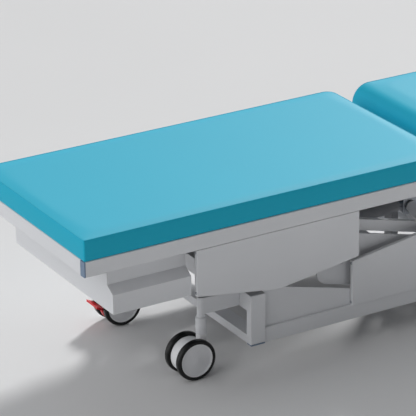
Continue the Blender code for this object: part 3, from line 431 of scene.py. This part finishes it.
def pad_blank(node, sizes, nose, corner):
    """Slab of fine cells in the node's box, drawn in along its sides, with a round nose or corners."""
    low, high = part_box(node)
    span = high.x - low.x
    width = high.y - low.y
    top = high.z - sizes.crown
    start_clean()
    bpy.ops.mesh.primitive_grid_add(
        x_subdivisions=round(span / sizes.cell), y_subdivisions=round(width / sizes.cell), size=1.0,
        location=((low.x + high.x) / 2, (low.y + high.y) / 2, low.z))
    pad = bpy.context.object
    pad.scale = (span, width, 1.0)
    bpy.ops.object.transform_apply(location=True, rotation=True, scale=True)
    bpy.ops.object.mode_set(mode="EDIT")
    bpy.ops.mesh.select_all(action="SELECT")
    for row in range(sizes.rows):
        bpy.ops.mesh.extrude_region_move(
            TRANSFORM_OT_translate={"value": (0, 0, (top - low.z) / sizes.rows)})
    bpy.ops.object.mode_set(mode="OBJECT")
    close_mesh(pad)
    for vert in pad.data.vertices:
        spot = vert.co.copy()
        if corner > 0:
            pivot = Vector((high.x - corner, copysign(width / 2 - corner, spot.y), spot.z))
            spot = rounded(spot, pivot, spot.x - pivot.x, abs(spot.y) - abs(pivot.y))
        if nose > 0:
            pivot = Vector((low.x + nose, spot.y, top - nose))
            spot = rounded(spot, pivot, pivot.x - spot.x, spot.z - pivot.z)
        share = (spot.x - low.x) / span
        spot.y *= 1 - 4 * share * (1 - share) * sizes.draw_in / (width / 2)
        vert.co = spot
    return pad


def sharp(edge):
    """Test for the edges of a pad that are sewn, before they are rounded."""
    return edge.is_manifold and edge.calc_face_angle() > SHARP_EDGE


def on_seam(edge, low, nose):
    """Whether the cord runs here: along the top, and down the sides of a round front end."""
    first, second = (vert.co for vert in edge.verts)
    if not sharp(edge) or max(first.z, second.z) < low.z + MERGE_DISTANCE:
        return False
    steep = abs(first.z - second.z) > edge.calc_length() * STEEP_SHARE
    return not steep or max(first.x, second.x) < low.x + nose


def welt_cord(pad, node, sizes, nose):
    """Covered cord sewn into the seam: a tube along the pad's own sharp edges."""
    low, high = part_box(node)
    middle = (low + high) / 2
    only(pad)
    bpy.ops.object.mode_set(mode="EDIT")
    select_where("EDGE", lambda edge: on_seam(edge, low, nose))
    bpy.ops.mesh.duplicate()
    bpy.ops.mesh.separate(type="SELECTED")
    bpy.ops.object.mode_set(mode="OBJECT")
    cord = next(item for item in bpy.context.selected_objects if item != pad)
    only(cord)
    inset = sizes.edge_radius * ROUND_DEPTH
    for vert in cord.data.vertices:
        vert.co.x -= (vert.co.x - middle.x) * inset / (high.x - middle.x)
        vert.co.y -= (vert.co.y - middle.y) * inset / (high.y - middle.y)
        vert.co.z = max(vert.co.z - inset, low.z + sizes.welt / 2)
    bpy.ops.object.convert(target="CURVE")
    cord.data.bevel_depth = sizes.welt / 2
    cord.data.bevel_resolution = CORD_STEPS
    cord.data.use_fill_caps = True
    bpy.ops.object.convert(target="MESH")
    return bpy.context.object


def round_edges(pad, sizes):
    """Rounds the sewn edges."""
    only(pad)
    bpy.ops.object.mode_set(mode="EDIT")
    select_where("EDGE", sharp)
    bpy.ops.mesh.bevel(offset=sizes.edge_radius, segments=PAD_STEPS, profile=0.5)
    bpy.ops.object.mode_set(mode="OBJECT")


def hold_sewn_edges(pad, node, sizes):
    """Vertex group of the points that stay put: the underside and the rounded, sewn edges."""
    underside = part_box(node)[0].z
    work = bmesh.new()
    work.from_mesh(pad.data)
    work.normal_update()
    held = []
    for vert in work.verts:
        bend = max(vert.normal.angle(face.normal) for face in vert.link_faces)
        if bend > BENT_CORNER or vert.co.z < underside + sizes.edge_radius:
            held.append(vert.index)
    work.free()
    pad.vertex_groups.new(name="held").add(held, 1.0, "REPLACE")


def blow_up(pad, sizes):
    """Cloth run: air pressure under the cover, sewn edges held, no point moved beyond the cap."""
    rest = [vert.co.copy() for vert in pad.data.vertices]
    only(pad)
    cover = pad.modifiers.new("Cover", "CLOTH")
    cloth = cover.settings
    cloth.quality = 5
    cloth.mass = 0.4
    cloth.tension_stiffness = 25.0
    cloth.compression_stiffness = 25.0
    cloth.shear_stiffness = 10.0
    cloth.bending_stiffness = 2.0
    cloth.use_pressure = True
    cloth.uniform_pressure_force = sizes.pressure
    cloth.effector_weights.gravity = 0.0
    cloth.vertex_group_mass = "held"
    cover.collision_settings.use_collision = False
    cover.point_cache.frame_start = 1
    cover.point_cache.frame_end = sizes.frames
    for step in range(1, sizes.frames + 1):
        bpy.context.scene.frame_set(step)
    bpy.ops.object.modifier_apply(modifier=cover.name)
    bpy.context.scene.frame_set(1)
    for vert, start in zip(pad.data.vertices, rest):
        move = vert.co - start
        if move.length > sizes.crown:
            vert.co = start + move * (sizes.crown / move.length)


def dress_pad(node, body, sizes, nose, corner):
    """Padded piece that stands for a mattress node, and the cord in its seam."""
    pad = pad_blank(node, sizes, nose, corner)
    cord = welt_cord(pad, node, sizes, nose)
    round_edges(pad, sizes)
    hold_sewn_edges(pad, node, sizes)
    blow_up(pad, sizes)
    pad.vertex_groups.clear()
    smoothed(pad, 1)
    settle(pad, node + "_cover", body, "vinyl", angle=SOFT_ANGLE)
    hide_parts(node)
    settle(cord, node + "_welt", body, "vinyl", angle=SOFT_ANGLE)


# Caster wheels
def ring_blank(axle, middle, radius, depth, width, shoulder):
    """Ring round an axle along Y: a section with rounded shoulders, spun once."""
    start_clean()
    bpy.ops.mesh.primitive_plane_add(size=1.0, location=(axle.x + radius - depth / 2, middle, axle.z))
    ring = bpy.context.object
    ring.scale = (depth, width, 1.0)
    bpy.ops.object.transform_apply(location=True, rotation=True, scale=True)
    bpy.ops.object.mode_set(mode="EDIT")
    bpy.ops.mesh.select_all(action="SELECT")
    bpy.ops.mesh.bevel(offset=shoulder, segments=TYRE_STEPS, affect="VERTICES")
    bpy.ops.mesh.select_all(action="SELECT")
    bpy.ops.mesh.delete(type="ONLY_FACE")
    bpy.ops.mesh.select_all(action="SELECT")
    bpy.ops.mesh.spin(steps=WHEEL_FACETS, angle=2 * pi, center=axle, axis=(0, 1, 0))
    bpy.ops.object.mode_set(mode="OBJECT")
    close_mesh(ring)
    return ring


def hub_blank(axle, middle, outward, sizes):
    """Hub disc, dished a little outside with a cap over the axle, and a journal towards the fender."""
    reach = sizes.radius - sizes.tyre_depth + sizes.lap
    start_clean()
    bpy.ops.mesh.primitive_cylinder_add(
        vertices=WHEEL_FACETS, radius=reach, depth=sizes.width - 2 * sizes.recess,
        location=(axle.x, middle, axle.z), rotation=(pi / 2, 0, 0))
    hub = bpy.context.object
    bpy.ops.object.transform_apply(location=True, rotation=True, scale=True)
    bpy.ops.object.mode_set(mode="EDIT")
    select_where("FACE", looks((0, outward, 0)))
    bpy.ops.mesh.inset(thickness=sizes.rim)
    bpy.ops.mesh.inset(thickness=sizes.dish_slope, depth=-sizes.dish)
    bpy.ops.mesh.inset(thickness=reach - sizes.rim - sizes.dish_slope - sizes.cap)
    bpy.ops.mesh.inset(thickness=sizes.dish_slope, depth=sizes.dish / 2)
    select_where("FACE", looks((0, -outward, 0)))
    bpy.ops.mesh.inset(thickness=reach - sizes.cap)
    bpy.ops.mesh.extrude_region_move(
        TRANSFORM_OT_translate={"value": (0, -outward * (sizes.recess + sizes.journal), 0)})
    bpy.ops.object.mode_set(mode="OBJECT")
    close_mesh(hub)
    return hub


# Fasteners and pedals; screws, bolts and ribs are made at the origin with the outer end towards +Z
def screw_blank(sizes):
    """Pan-head screw: rounded edge and a round driving socket."""
    start_clean()
    bpy.ops.mesh.primitive_cylinder_add(
        vertices=SCREW_FACETS, radius=sizes.head_radius, depth=sizes.head_height,
        location=(0, 0, sizes.head_height / 2))
    screw = bpy.context.object
    bpy.ops.object.transform_apply(location=True, rotation=True, scale=True)
    bpy.ops.object.mode_set(mode="EDIT")
    select_where("FACE", looks((0, 0, 1)))
    bpy.ops.mesh.bevel(offset=sizes.head_round, segments=SCREW_STEPS, affect="EDGES")
    select_where("FACE", lambda face: face.normal.z > FACING_SHARE and len(face.verts) > 4)
    bpy.ops.mesh.inset(thickness=sizes.socket_rim)
    bpy.ops.mesh.inset(thickness=sizes.socket_slope, depth=-sizes.socket_depth)
    bpy.ops.object.mode_set(mode="OBJECT")
    close_mesh(screw)
    return screw


def bolt_blank(sizes):
    """Hexagon bolt head with a turned chamfer, on a plain washer."""
    start_clean()
    bpy.ops.mesh.primitive_cylinder_add(
        vertices=WASHER_FACETS, radius=sizes.washer_radius, depth=sizes.washer_height,
        location=(0, 0, sizes.washer_height / 2))
    washer = bpy.context.object
    bpy.ops.object.transform_apply(location=True, rotation=True, scale=True)
    bpy.ops.object.mode_set(mode="EDIT")
    select_where("FACE", looks((0, 0, 1)))
    bpy.ops.mesh.bevel(offset=sizes.washer_round, segments=WASHER_STEPS, affect="EDGES")
    bpy.ops.object.mode_set(mode="OBJECT")
    start_clean()
    bpy.ops.mesh.primitive_cylinder_add(
        vertices=HEXAGON, radius=sizes.bolt_radius, depth=sizes.bolt_height,
        location=(0, 0, sizes.washer_height + sizes.bolt_height / 2))
    head = bpy.context.object
    bpy.ops.object.transform_apply(location=True, rotation=True, scale=True)
    bpy.ops.object.mode_set(mode="EDIT")
    select_where("FACE", looks((0, 0, 1)))
    bpy.ops.mesh.inset(thickness=sizes.chamfer)
    bpy.ops.transform.translate(value=(0, 0, sizes.chamfer_rise))
    bpy.ops.object.mode_set(mode="OBJECT")
    bolt = joined([washer, head])
    close_mesh(bolt)
    return bolt


def pedal_blank(node, end, sizes):
    """Brake pedal after its CAD solid, with the tread plate's outer end drawn in and bent up."""
    pedal = bpy.data.objects.new(node + "_copy", bpy.data.objects[node].data.copy())
    bpy.context.scene.collection.objects.link(pedal)
    close_mesh(pedal)
    bpy.ops.object.mode_set(mode="EDIT")
    select_where("VERT", lambda corner: corner.co.x < end + sizes.tread_cut)
    bpy.ops.transform.translate(value=(sizes.tread_cut, 0, sizes.tread_lift))
    bpy.ops.object.mode_set(mode="OBJECT")
    return pedal


def tread_line(pedal, sizes):
    """Top of a tread plate: its outer edge, and how far it falls from there per metre."""
    spots = [corner.co for corner in pedal.data.vertices]
    edge = max(spots, key=lambda spot: spot.z - spot.x)
    behind = [spot for spot in spots if spot.x > edge.x + sizes.tread_length / 2]
    inner = max(behind, key=lambda spot: spot.z - spot.x)
    return edge, (edge.z - inner.z) / (inner.x - edge.x)


def rib_blank(sizes, width):
    """Rounded anti-slip rib that lies along Y."""
    start_clean()
    bpy.ops.mesh.primitive_cube_add(size=1.0, location=(0, 0, 0))
    rib = bpy.context.object
    rib.scale = (sizes.rib_width, width, sizes.rib_height * 2)
    bpy.ops.object.transform_apply(location=True, rotation=True, scale=True)
    bpy.ops.object.mode_set(mode="EDIT")
    bpy.ops.mesh.select_all(action="SELECT")
    bpy.ops.mesh.bevel(offset=sizes.rib_round, segments=RIB_STEPS, affect="EDGES")
    bpy.ops.object.mode_set(mode="OBJECT")
    return rib


# Studio
def lay_floor(studio):
    """Square floor just under the tyres."""
    start_clean()
    bpy.ops.mesh.primitive_plane_add(size=studio.floor_size, location=(0, 0, -studio.floor_drop))
    floor = bpy.context.object
    floor.name = "studio_floor"
    bpy.ops.object.transform_apply(location=True, rotation=True, scale=True)
    floor.data.materials.append(studio_floor_paint(studio))


def light_sky(studio):
    """Plain light from all round that grows towards the bright side."""
    world = bpy.data.worlds.new("studio_sky")
    bpy.context.scene.world = world
    world.use_nodes = True
    tree = world.node_tree
    tree.nodes.clear()
    place = add_node(tree, "ShaderNodeTexCoord").outputs["Generated"]
    side = add_node(tree, "ShaderNodeVectorMath", {0: place, 1: BRIGHT_SIDE}, operation="DOT_PRODUCT")
    level = add_node(tree, "ShaderNodeMapRange", {
        "Value": side.outputs["Value"], "From Min": -1.0, "From Max": 1.0,
        "To Min": studio.sky - studio.sky_slope, "To Max": studio.sky + studio.sky_slope})
    sky = add_node(tree, "ShaderNodeBackground", {
        "Color": linear(SKY_TINT), "Strength": level.outputs["Result"]})
    add_node(tree, "ShaderNodeOutputWorld", {"Surface": sky.outputs["Background"]})


def hang_sun(name, strength, angle, aim):
    """Sun that shines along the aim."""
    lamp = bpy.data.lights.new(name, "SUN")
    lamp.energy = strength
    lamp.angle = angle
    holder = bpy.data.objects.new(name, lamp)
    bpy.context.scene.collection.objects.link(holder)
    holder.rotation_euler = Vector(aim).to_track_quat("-Z", "Y").to_euler()


def hang_strip(studio):
    """Long low lamp beside the near rail, out of the camera's sight."""
    lamp = bpy.data.lights.new("side_strip", "AREA")
    lamp.shape = "RECTANGLE"
    lamp.size = studio.strip_length
    lamp.size_y = studio.strip_height
    lamp.spread = studio.strip_spread
    lamp.energy = studio.strip
    strip = bpy.data.objects.new("side_strip", lamp)
    bpy.context.scene.collection.objects.link(strip)
    strip.location = STRIP_PLACE
    strip.rotation_euler = (pi / 2, 0, 0)
    strip.visible_camera = False


def place_camera(studio):
    """Camera of the photograph."""
    lens = bpy.data.cameras.new("view_of_the_photograph")
    lens.sensor_fit = "HORIZONTAL"
    lens.sensor_width = studio.sensor
    lens.lens = studio.lens
    camera = bpy.data.objects.new("view_of_the_photograph", lens)
    bpy.context.scene.collection.objects.link(camera)
    turn = Matrix((CAMERA_RIGHT, CAMERA_UP, CAMERA_RIGHT.cross(CAMERA_UP))).transposed()
    camera.matrix_world = Matrix.Translation(CAMERA_PLACE) @ turn.to_4x4()
    bpy.context.scene.camera = camera


# Settings
def colour(name, description, code):
    """Setting for a colour, given as an sRGB hex code."""
    return FloatVectorProperty(name=name, description=description, default=linear(code), size=4,
                               subtype="COLOR", min=0.0, max=1.0)


def length(name, description, default):
    """Setting for a length in metres."""
    return FloatProperty(name=name, description=description, default=default, unit="LENGTH", precision=4)


class FinishColours(bpy.types.PropertyGroup):
    """Colours of the finishes."""
    powder: colour("Powder coat", "White of the steel frame", "#E2E3E6")
    powder_shade: colour("Powder coat shade", "Its slightly darker clouds", "#DCDEE1")
    # Painted highlight: the lighter colour painted along the frame's edges, not a colour the coat has
    powder_painted_highlight: colour("Powder coat edge", "Its brighter, rounded edges", "#F7F7F8")
    vinyl: colour("Vinyl", "Blue of the mattress covers", "#00B2D0")
    vinyl_shade: colour("Vinyl shade", "Its slightly darker clouds", "#00AFCD")
    plug: colour("End plugs", "Slate of the tube plugs", "#7A8FA8")
    plug_shade: colour("End plug shade", "Its darker flow marks", "#6C819B")
    tyre: colour("Tyre", "Black of the tyres", "#08090A")
    tyre_dust: colour("Tyre dust", "Dusty bloom on the tyres", "#131415")
    caster: colour("Caster body", "White of the fenders", "#F2F3F4")
    caster_shade: colour("Caster body shade", "Its flow marks", "#EAEBED")
    hub: colour("Hub disc", "Pale grey of the wheel discs", "#EBECEF")
    hub_shade: colour("Hub disc shade", "Its flow marks", "#E4E5E8")
    pedal: colour("Pedal", "Red of the brake pedals", "#E8202C")
    pedal_shade: colour("Pedal shade", "Its flow marks", "#D91827")
    actuator: colour("Actuator", "Grey of the lift motor", "#A9ABAF")
    actuator_shade: colour("Actuator shade", "Its flow marks", "#A1A3A7")
    zinc: colour("Zinc", "Plated pins, rod and screws", "#C3C6CB")
    zinc_shade: colour("Zinc bloom", "Dull patches in the plating", "#AEB2B8")
    film: colour("Deck film", "Dark film on the decks", "#4B4947")
    film_streak: colour("Deck film streaks", "Its darker streaks", "#3B3836")
    ply: colour("Plies", "Birch plies in the decks' edges", "#8A6A48")


class MattressSizes(bpy.types.PropertyGroup):
    """Sizes of the padded pieces."""
    cell: length("Cell", "Size of the cover's mesh cells", 0.014)
    rows: IntProperty(name="Rows", description="Rows of cells up the side", default=5, min=2)
    edge_radius: length("Edge radius", "Rounding of the sewn edges", 0.005)
    welt: length("Welt", "Diameter of the cord in the seam", 0.0034)
    draw_in: length("Draw-in", "How far the long sides pull in at the middle", 0.002)
    crown: length("Crown", "Most that the cover may swell", 0.003)
    pressure: FloatProperty(name="Pressure", description="Air pressure in the cloth run", default=4.0)
    frames: IntProperty(name="Frames", description="Length of the cloth run", default=20)
    nose: length("Nose", "Radius of the head pad's front end", 0.058)
    corner: length("Corner", "Plan radius of the foot pad's two inner corners", 0.030)


class CasterSizes(bpy.types.PropertyGroup):
    """Sizes of the caster wheels, and of the brake pedals and their ribs."""
    radius: length("Wheel radius", "Outer radius of a tyre", 0.0625)
    width: length("Wheel width", "Width of one tyre", 0.021)
    tyre_depth: length("Tyre depth", "From the tread to the hub disc", 0.0130)
    shoulder: length("Shoulder", "Rounding of the tyre section", 0.0060)
    recess: length("Recess", "Hub disc behind the tyre's side", 0.0015)
    rim: length("Rim", "Width of the pale rim round the disc", 0.0024)
    rim_round: length("Rim round", "Rounding of that rim", 0.00045)
    lap: length("Lap", "Hub disc inside the tyre", 0.0006)
    dish: length("Dish", "Depth of the hub disc's dished face", 0.0006)
    dish_slope: length("Dish slope", "Width of the slope into it", 0.0009)
    cap: length("Axle cap", "Radius of the cap over the axle", 0.009)
    journal: length("Journal", "Hub's journal up to the fender", 0.0028)
    half_gap: length("Half gap", "From the middle plane to a wheel's inner side", 0.022)
    rib_width: length("Rib width", "Width of a rib on a pedal", 0.0030)
    rib_height: length("Rib height", "How far a rib stands out", 0.0010)
    rib_round: length("Rib round", "Rounding of a rib's edges", 0.0007)
    rib_margin: length("Rib margin", "Pedal's sides and front edge left bare", 0.0058)
    tread_cut: length("Tread cut", "How much shorter a tread plate is than its CAD solid", 0.0250)
    tread_lift: length("Tread lift", "How far its outer edge is bent up", 0.0080)
    tread_length: length("Tread length", "From its outer edge to the wheels", 0.0220)
    rib_step: length("Rib step", "From one rib to the next", 0.0070)
    ribs: IntProperty(name="Ribs", description="Ribs on each pedal", default=2, min=1)


class FastenerSizes(bpy.types.PropertyGroup):
    """Sizes of the screws and pivot bolts."""
    head_radius: length("Head radius", "Radius of a screw head", 0.0042)
    head_height: length("Head height", "Height of a screw head", 0.0024)
    head_round: length("Head round", "Rounding of a screw head's rim", 0.0011)
    socket_rim: length("Socket rim", "From that rim to the driving socket", 0.0012)
    socket_slope: length("Socket slope", "Draft of the socket's wall", 0.0002)
    socket_depth: length("Socket depth", "Depth of the driving socket", 0.0012)
    inset: length("Inset", "Screw from the end of a panel's flange", 0.009)
    flange: length("Flange", "Height of a side panel's end flange", 0.142)
    bolt_radius: length("Bolt radius", "Corner radius of a pivot bolt's head", 0.0110)
    bolt_height: length("Bolt height", "Height of a pivot bolt's head", 0.0064)
    chamfer: length("Chamfer", "Width of the bolt head's turned chamfer", 0.0011)
    chamfer_rise: length("Chamfer rise", "Height of that chamfer", 0.0008)
    washer_radius: length("Washer radius", "Radius of the washer under it", 0.0150)
    washer_height: length("Washer height", "Thickness of that washer", 0.0020)
    washer_round: length("Washer round", "Rounding of the washer's rim", 0.0006)
    arm_face: length("Arm face", "Outer face of the lift arms from the middle", 0.2624)
    guide_face: length("Guide face", "Inner face of the guide arms from the middle", 0.2196)


class StudioSettings(bpy.types.PropertyGroup):
    """Floor, light and camera."""
    floor: colour("Floor", "Pale floor paint", "#DFDFDF")
    floor_shade: colour("Floor shade", "Its slightly darker coats", "#DCDCDC")
    sky: FloatProperty(name="Sky", description="Mean level of the light all round", default=0.28)
    sky_slope: FloatProperty(name="Sky slope", description="How much the bright side gains", default=0.28)
    key: FloatProperty(name="Key", description="Strength of the soft key light", default=2.75)
    key_angle: FloatProperty(name="Key angle", description="How wide the key light looks", subtype="ANGLE",
                             default=radians(9))
    fill: FloatProperty(name="Fill", description="Strength of the broad light on the foot end",
                        default=1.05)
    fill_angle: FloatProperty(name="Fill angle", description="How wide the fill light looks",
                              subtype="ANGLE", default=radians(70))
    strip: FloatProperty(name="Strip", description="Power of the strip lamp beside the rail, in watts",
                         default=0.22)
    strip_length: length("Strip length", "Length of the strip lamp", 2.8)
    strip_height: length("Strip height", "Height of the strip lamp", 0.15)
    strip_spread: FloatProperty(name="Strip spread", description="Angle of the strip lamp's beam",
                                subtype="ANGLE", default=radians(20))
    floor_size: length("Floor size", "Side of the square floor", 40.0)
    floor_drop: length("Floor drop", "Floor below the tyres", 0.0005)
    lens: FloatProperty(name="Lens", description="Focal length of the camera, in millimetres",
                        default=232.73)
    sensor: FloatProperty(name="Sensor", description="Width of its sensor, in millimetres", default=36.0)


class TableSettings(bpy.types.PropertyGroup):
    """All settings of the table."""
    colours: PointerProperty(type=FinishColours)
    mattress: PointerProperty(type=MattressSizes)
    caster: PointerProperty(type=CasterSizes)
    fastener: PointerProperty(type=FastenerSizes)
    studio: PointerProperty(type=StudioSettings)


# Operators
class EXAMTABLE_OT_finishes(bpy.types.Operator):
    """Make the finishes and put them on the frame's own pieces"""
    bl_idname = "examtable.finishes"
    bl_label = "Finish the Frame"

    def execute(self, context):
        colours = context.scene.examtable.colours
        polyester_powder_coat(colours)
        coated_upholstery_vinyl(colours)
        zinc_plated_steel(colours)
        film_faced_plywood(colours)
        polyurethane_tyre(colours)
        moulded_plastic("plug_plastic", colours.plug, colours.plug_shade, smooth=0.42, rough=0.52)
        moulded_plastic("caster_plastic", colours.caster, colours.caster_shade, smooth=0.34, rough=0.42)
        moulded_plastic("hub_disc", colours.hub, colours.hub_shade, smooth=0.40, rough=0.48)
        moulded_plastic("red_plastic", colours.pedal, colours.pedal_shade, smooth=0.28, rough=0.36)
        moulded_plastic("grey_plastic", colours.actuator, colours.actuator_shade, smooth=0.44, rough=0.54)
        for name, node in frame["nodes"].items():
            node.data.materials.clear()
            node.data.materials.append(finish_of(SLOT_OF_NODE[name]))
        return {"FINISHED"}


class EXAMTABLE_OT_mattresses(bpy.types.Operator):
    """Make both mattresses with their sewn covers"""
    bl_idname = "examtable.mattresses"
    bl_label = "Make the Mattresses"

    def execute(self, context):
        sizes = context.scene.examtable.mattress
        dress_pad("foot_mattress", "top", sizes, 0.0, sizes.corner)
        dress_pad("head_mattress", "backrest", sizes, sizes.nose, 0.0)
        return {"FINISHED"}


class EXAMTABLE_OT_wheels(bpy.types.Operator):
    """Make the tyres, hub discs and rims of the four twin-wheel casters"""
    bl_idname = "examtable.wheels"
    bl_label = "Make the Wheels"

    def execute(self, context):
        sizes = context.scene.examtable.caster
        low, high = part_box("caster_wheels_" + CASTERS[0])
        first = (low + high) / 2
        axle = Vector((first.x, first.y, sizes.radius))
        reach = sizes.half_gap + sizes.width / 2
        reached = sizes.half_gap + sizes.width - sizes.recess
        disc_radius = sizes.radius - sizes.tyre_depth
        wheel = {"tyres": [], "hub_discs": [], "hub_rims": []}
        for side in SIDES.values():
            wheel["tyres"].append(ring_blank(axle, axle.y + side * reach, sizes.radius, sizes.tyre_depth,
                                             sizes.width, sizes.shoulder))
            wheel["hub_discs"].append(hub_blank(axle, axle.y + side * reach, side, sizes))
            wheel["hub_rims"].append(ring_blank(axle, axle.y + side * reached, disc_radius + sizes.recess,
                                                sizes.rim + sizes.recess, sizes.recess, sizes.rim_round))
        for kind, slot, finish in (("tyres", "tyre", None), ("hub_discs", "caster_plastic", "hub_disc"),
                                   ("hub_rims", "caster_plastic", None)):
            pair = joined(wheel[kind])
            for place in CASTERS:
                low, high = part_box("caster_wheels_" + place)
                copy = copy_of(pair, Matrix.Translation((low + high) / 2 - first))
                settle(copy, kind + "_" + place, "wheels_" + place, slot, finish, TURNED_ANGLE)
                if kind == "tyres":
                    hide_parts("caster_wheels_" + place)
            remove(pair)
        return {"FINISHED"}


class EXAMTABLE_OT_pedals(bpy.types.Operator):
    """Make the brake pedals with their short upturned tread plates and anti-slip ribs"""
    bl_idname = "examtable.pedals"
    bl_label = "Make the Pedals"

    def execute(self, context):
        sizes = context.scene.examtable.caster
        for place in BRAKED_CASTERS:
            node = "brake_pedal_" + place
            low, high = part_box(node)
            pedal = pedal_blank(node, low.x, sizes)
            edge, slope = tread_line(pedal, sizes)
            lean = Matrix.Rotation(atan(slope), 4, "Y")
            rib = rib_blank(sizes, high.y - low.y - 2 * sizes.rib_margin)
            ribs = []
            for count in range(sizes.ribs):
                ahead = sizes.rib_margin + count * sizes.rib_step
                spot = Vector((edge.x + ahead, (low.y + high.y) / 2, edge.z - slope * ahead))
                ribs.append(copy_of(rib, Matrix.Translation(spot) @ lean))
            remove(rib)
            settle(pedal, "pedal_" + place + "_tread", "pedal_" + place, "red_plastic")
            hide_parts(node)
            settle(joined(ribs), "pedal_ribs_" + place, "pedal_" + place, "red_plastic")
        return {"FINISHED"}


class EXAMTABLE_OT_screws(bpy.types.Operator):
    """Make the screws that hold the side panels by their end flanges"""
    bl_idname = "examtable.screws"
    bl_label = "Make the Screws"

    def execute(self, context):
        sizes = context.scene.examtable.fastener
        screw = screw_blank(sizes)
        for level, body in (("upper", "top"), ("lower", "base")):
            for label in SIDES:
                low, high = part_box("side_panel_" + level + "_" + label)
                bottom = high.z - sizes.flange if level == "upper" else low.z
                heads = []
                for end, place in ((-1, low.x), (1, high.x)):
                    for rise in (sizes.inset, sizes.flange - sizes.inset):
                        spot = (place, (low.y + high.y) / 2, bottom + rise)
                        heads.append(copy_of(screw, facing(spot, (end, 0, 0))))
                settle(joined(heads), "panel_screws_" + level + "_" + label, body, "steel",
                       angle=TURNED_ANGLE)
        remove(screw)
        return {"FINISHED"}


class EXAMTABLE_OT_bolts(bpy.types.Operator):
    """Make the bolts that end the pivot pins of the lift and guide arms"""
    bl_idname = "examtable.bolts"
    bl_label = "Make the Pivot Bolts"

    def execute(self, context):
        sizes = context.scene.examtable.fastener
        bolt = bolt_blank(sizes)
        base_pivot = JOINT_PLACE["lift_raise"]
        top_pivot = JOINT_PLACE["top_level"]
        guide_pivot = JOINT_PLACE["guide_swing"]
        for body, arm, guide in (("base", base_pivot, guide_pivot),
                                 ("top", top_pivot, guide_pivot + top_pivot - base_pivot)):
            heads = []
            for side in SIDES.values():
                outside = (arm.x, side * sizes.arm_face, arm.z)
                inside = (guide.x, side * sizes.guide_face, guide.z)
                heads.append(copy_of(bolt, facing(outside, (0, side, 0))))
                heads.append(copy_of(bolt, facing(inside, (0, -side, 0))))
            settle(joined(heads), "pivot_bolts_" + body, body, "steel", angle=TURNED_ANGLE)
        remove(bolt)
        return {"FINISHED"}


class EXAMTABLE_OT_studio(bpy.types.Operator):
    """Set up the floor, the soft light and the camera"""
    bl_idname = "examtable.studio"
    bl_label = "Set up the Studio"

    def execute(self, context):
        studio = context.scene.examtable.studio
        lay_floor(studio)
        light_sky(studio)
        hang_sun("key_light", studio.key, studio.key_angle, KEY_AIM)
        hang_sun("fill_light", studio.fill, studio.fill_angle, FILL_AIM)
        hang_strip(studio)
        place_camera(studio)
        bpy.context.scene.view_settings.view_transform = "Standard"
        return {"FINISHED"}


class VIEW3D_PT_examtable(bpy.types.Panel):
    """Sidebar list of the table's operators and settings"""
    bl_label = "Examination Table"
    bl_space_type = "VIEW_3D"
    bl_region_type = "UI"
    bl_category = "Table"

    def draw(self, context):
        column = self.layout.column()
        for operator in OPERATORS:
            column.operator(operator.bl_idname)
        settings = context.scene.examtable
        for group in (settings.colours, settings.mattress, settings.caster, settings.fastener,
                      settings.studio):
            box = self.layout.box()
            for name in group.bl_rna.properties.keys():
                if name not in ("rna_type", "name"):
                    box.prop(group, name)


OPERATORS = (EXAMTABLE_OT_finishes, EXAMTABLE_OT_mattresses, EXAMTABLE_OT_wheels, EXAMTABLE_OT_pedals,
             EXAMTABLE_OT_screws, EXAMTABLE_OT_bolts, EXAMTABLE_OT_studio)
CLASSES = (FinishColours, MattressSizes, CasterSizes, FastenerSizes, StudioSettings, TableSettings,
           *OPERATORS, VIEW3D_PT_examtable)


def register():
    for item in CLASSES:
        bpy.utils.register_class(item)
    bpy.types.Scene.examtable = PointerProperty(type=TableSettings)


def unregister():
    del bpy.types.Scene.examtable
    for item in reversed(CLASSES):
        bpy.utils.unregister_class(item)


def main():
    """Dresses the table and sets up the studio."""
    register()
    bpy.ops.examtable.finishes()
    bpy.ops.examtable.mattresses()
    bpy.ops.examtable.wheels()
    bpy.ops.examtable.pedals()
    bpy.ops.examtable.screws()
    bpy.ops.examtable.bolts()
    bpy.ops.examtable.studio()


if __name__ == "__main__":
    main()
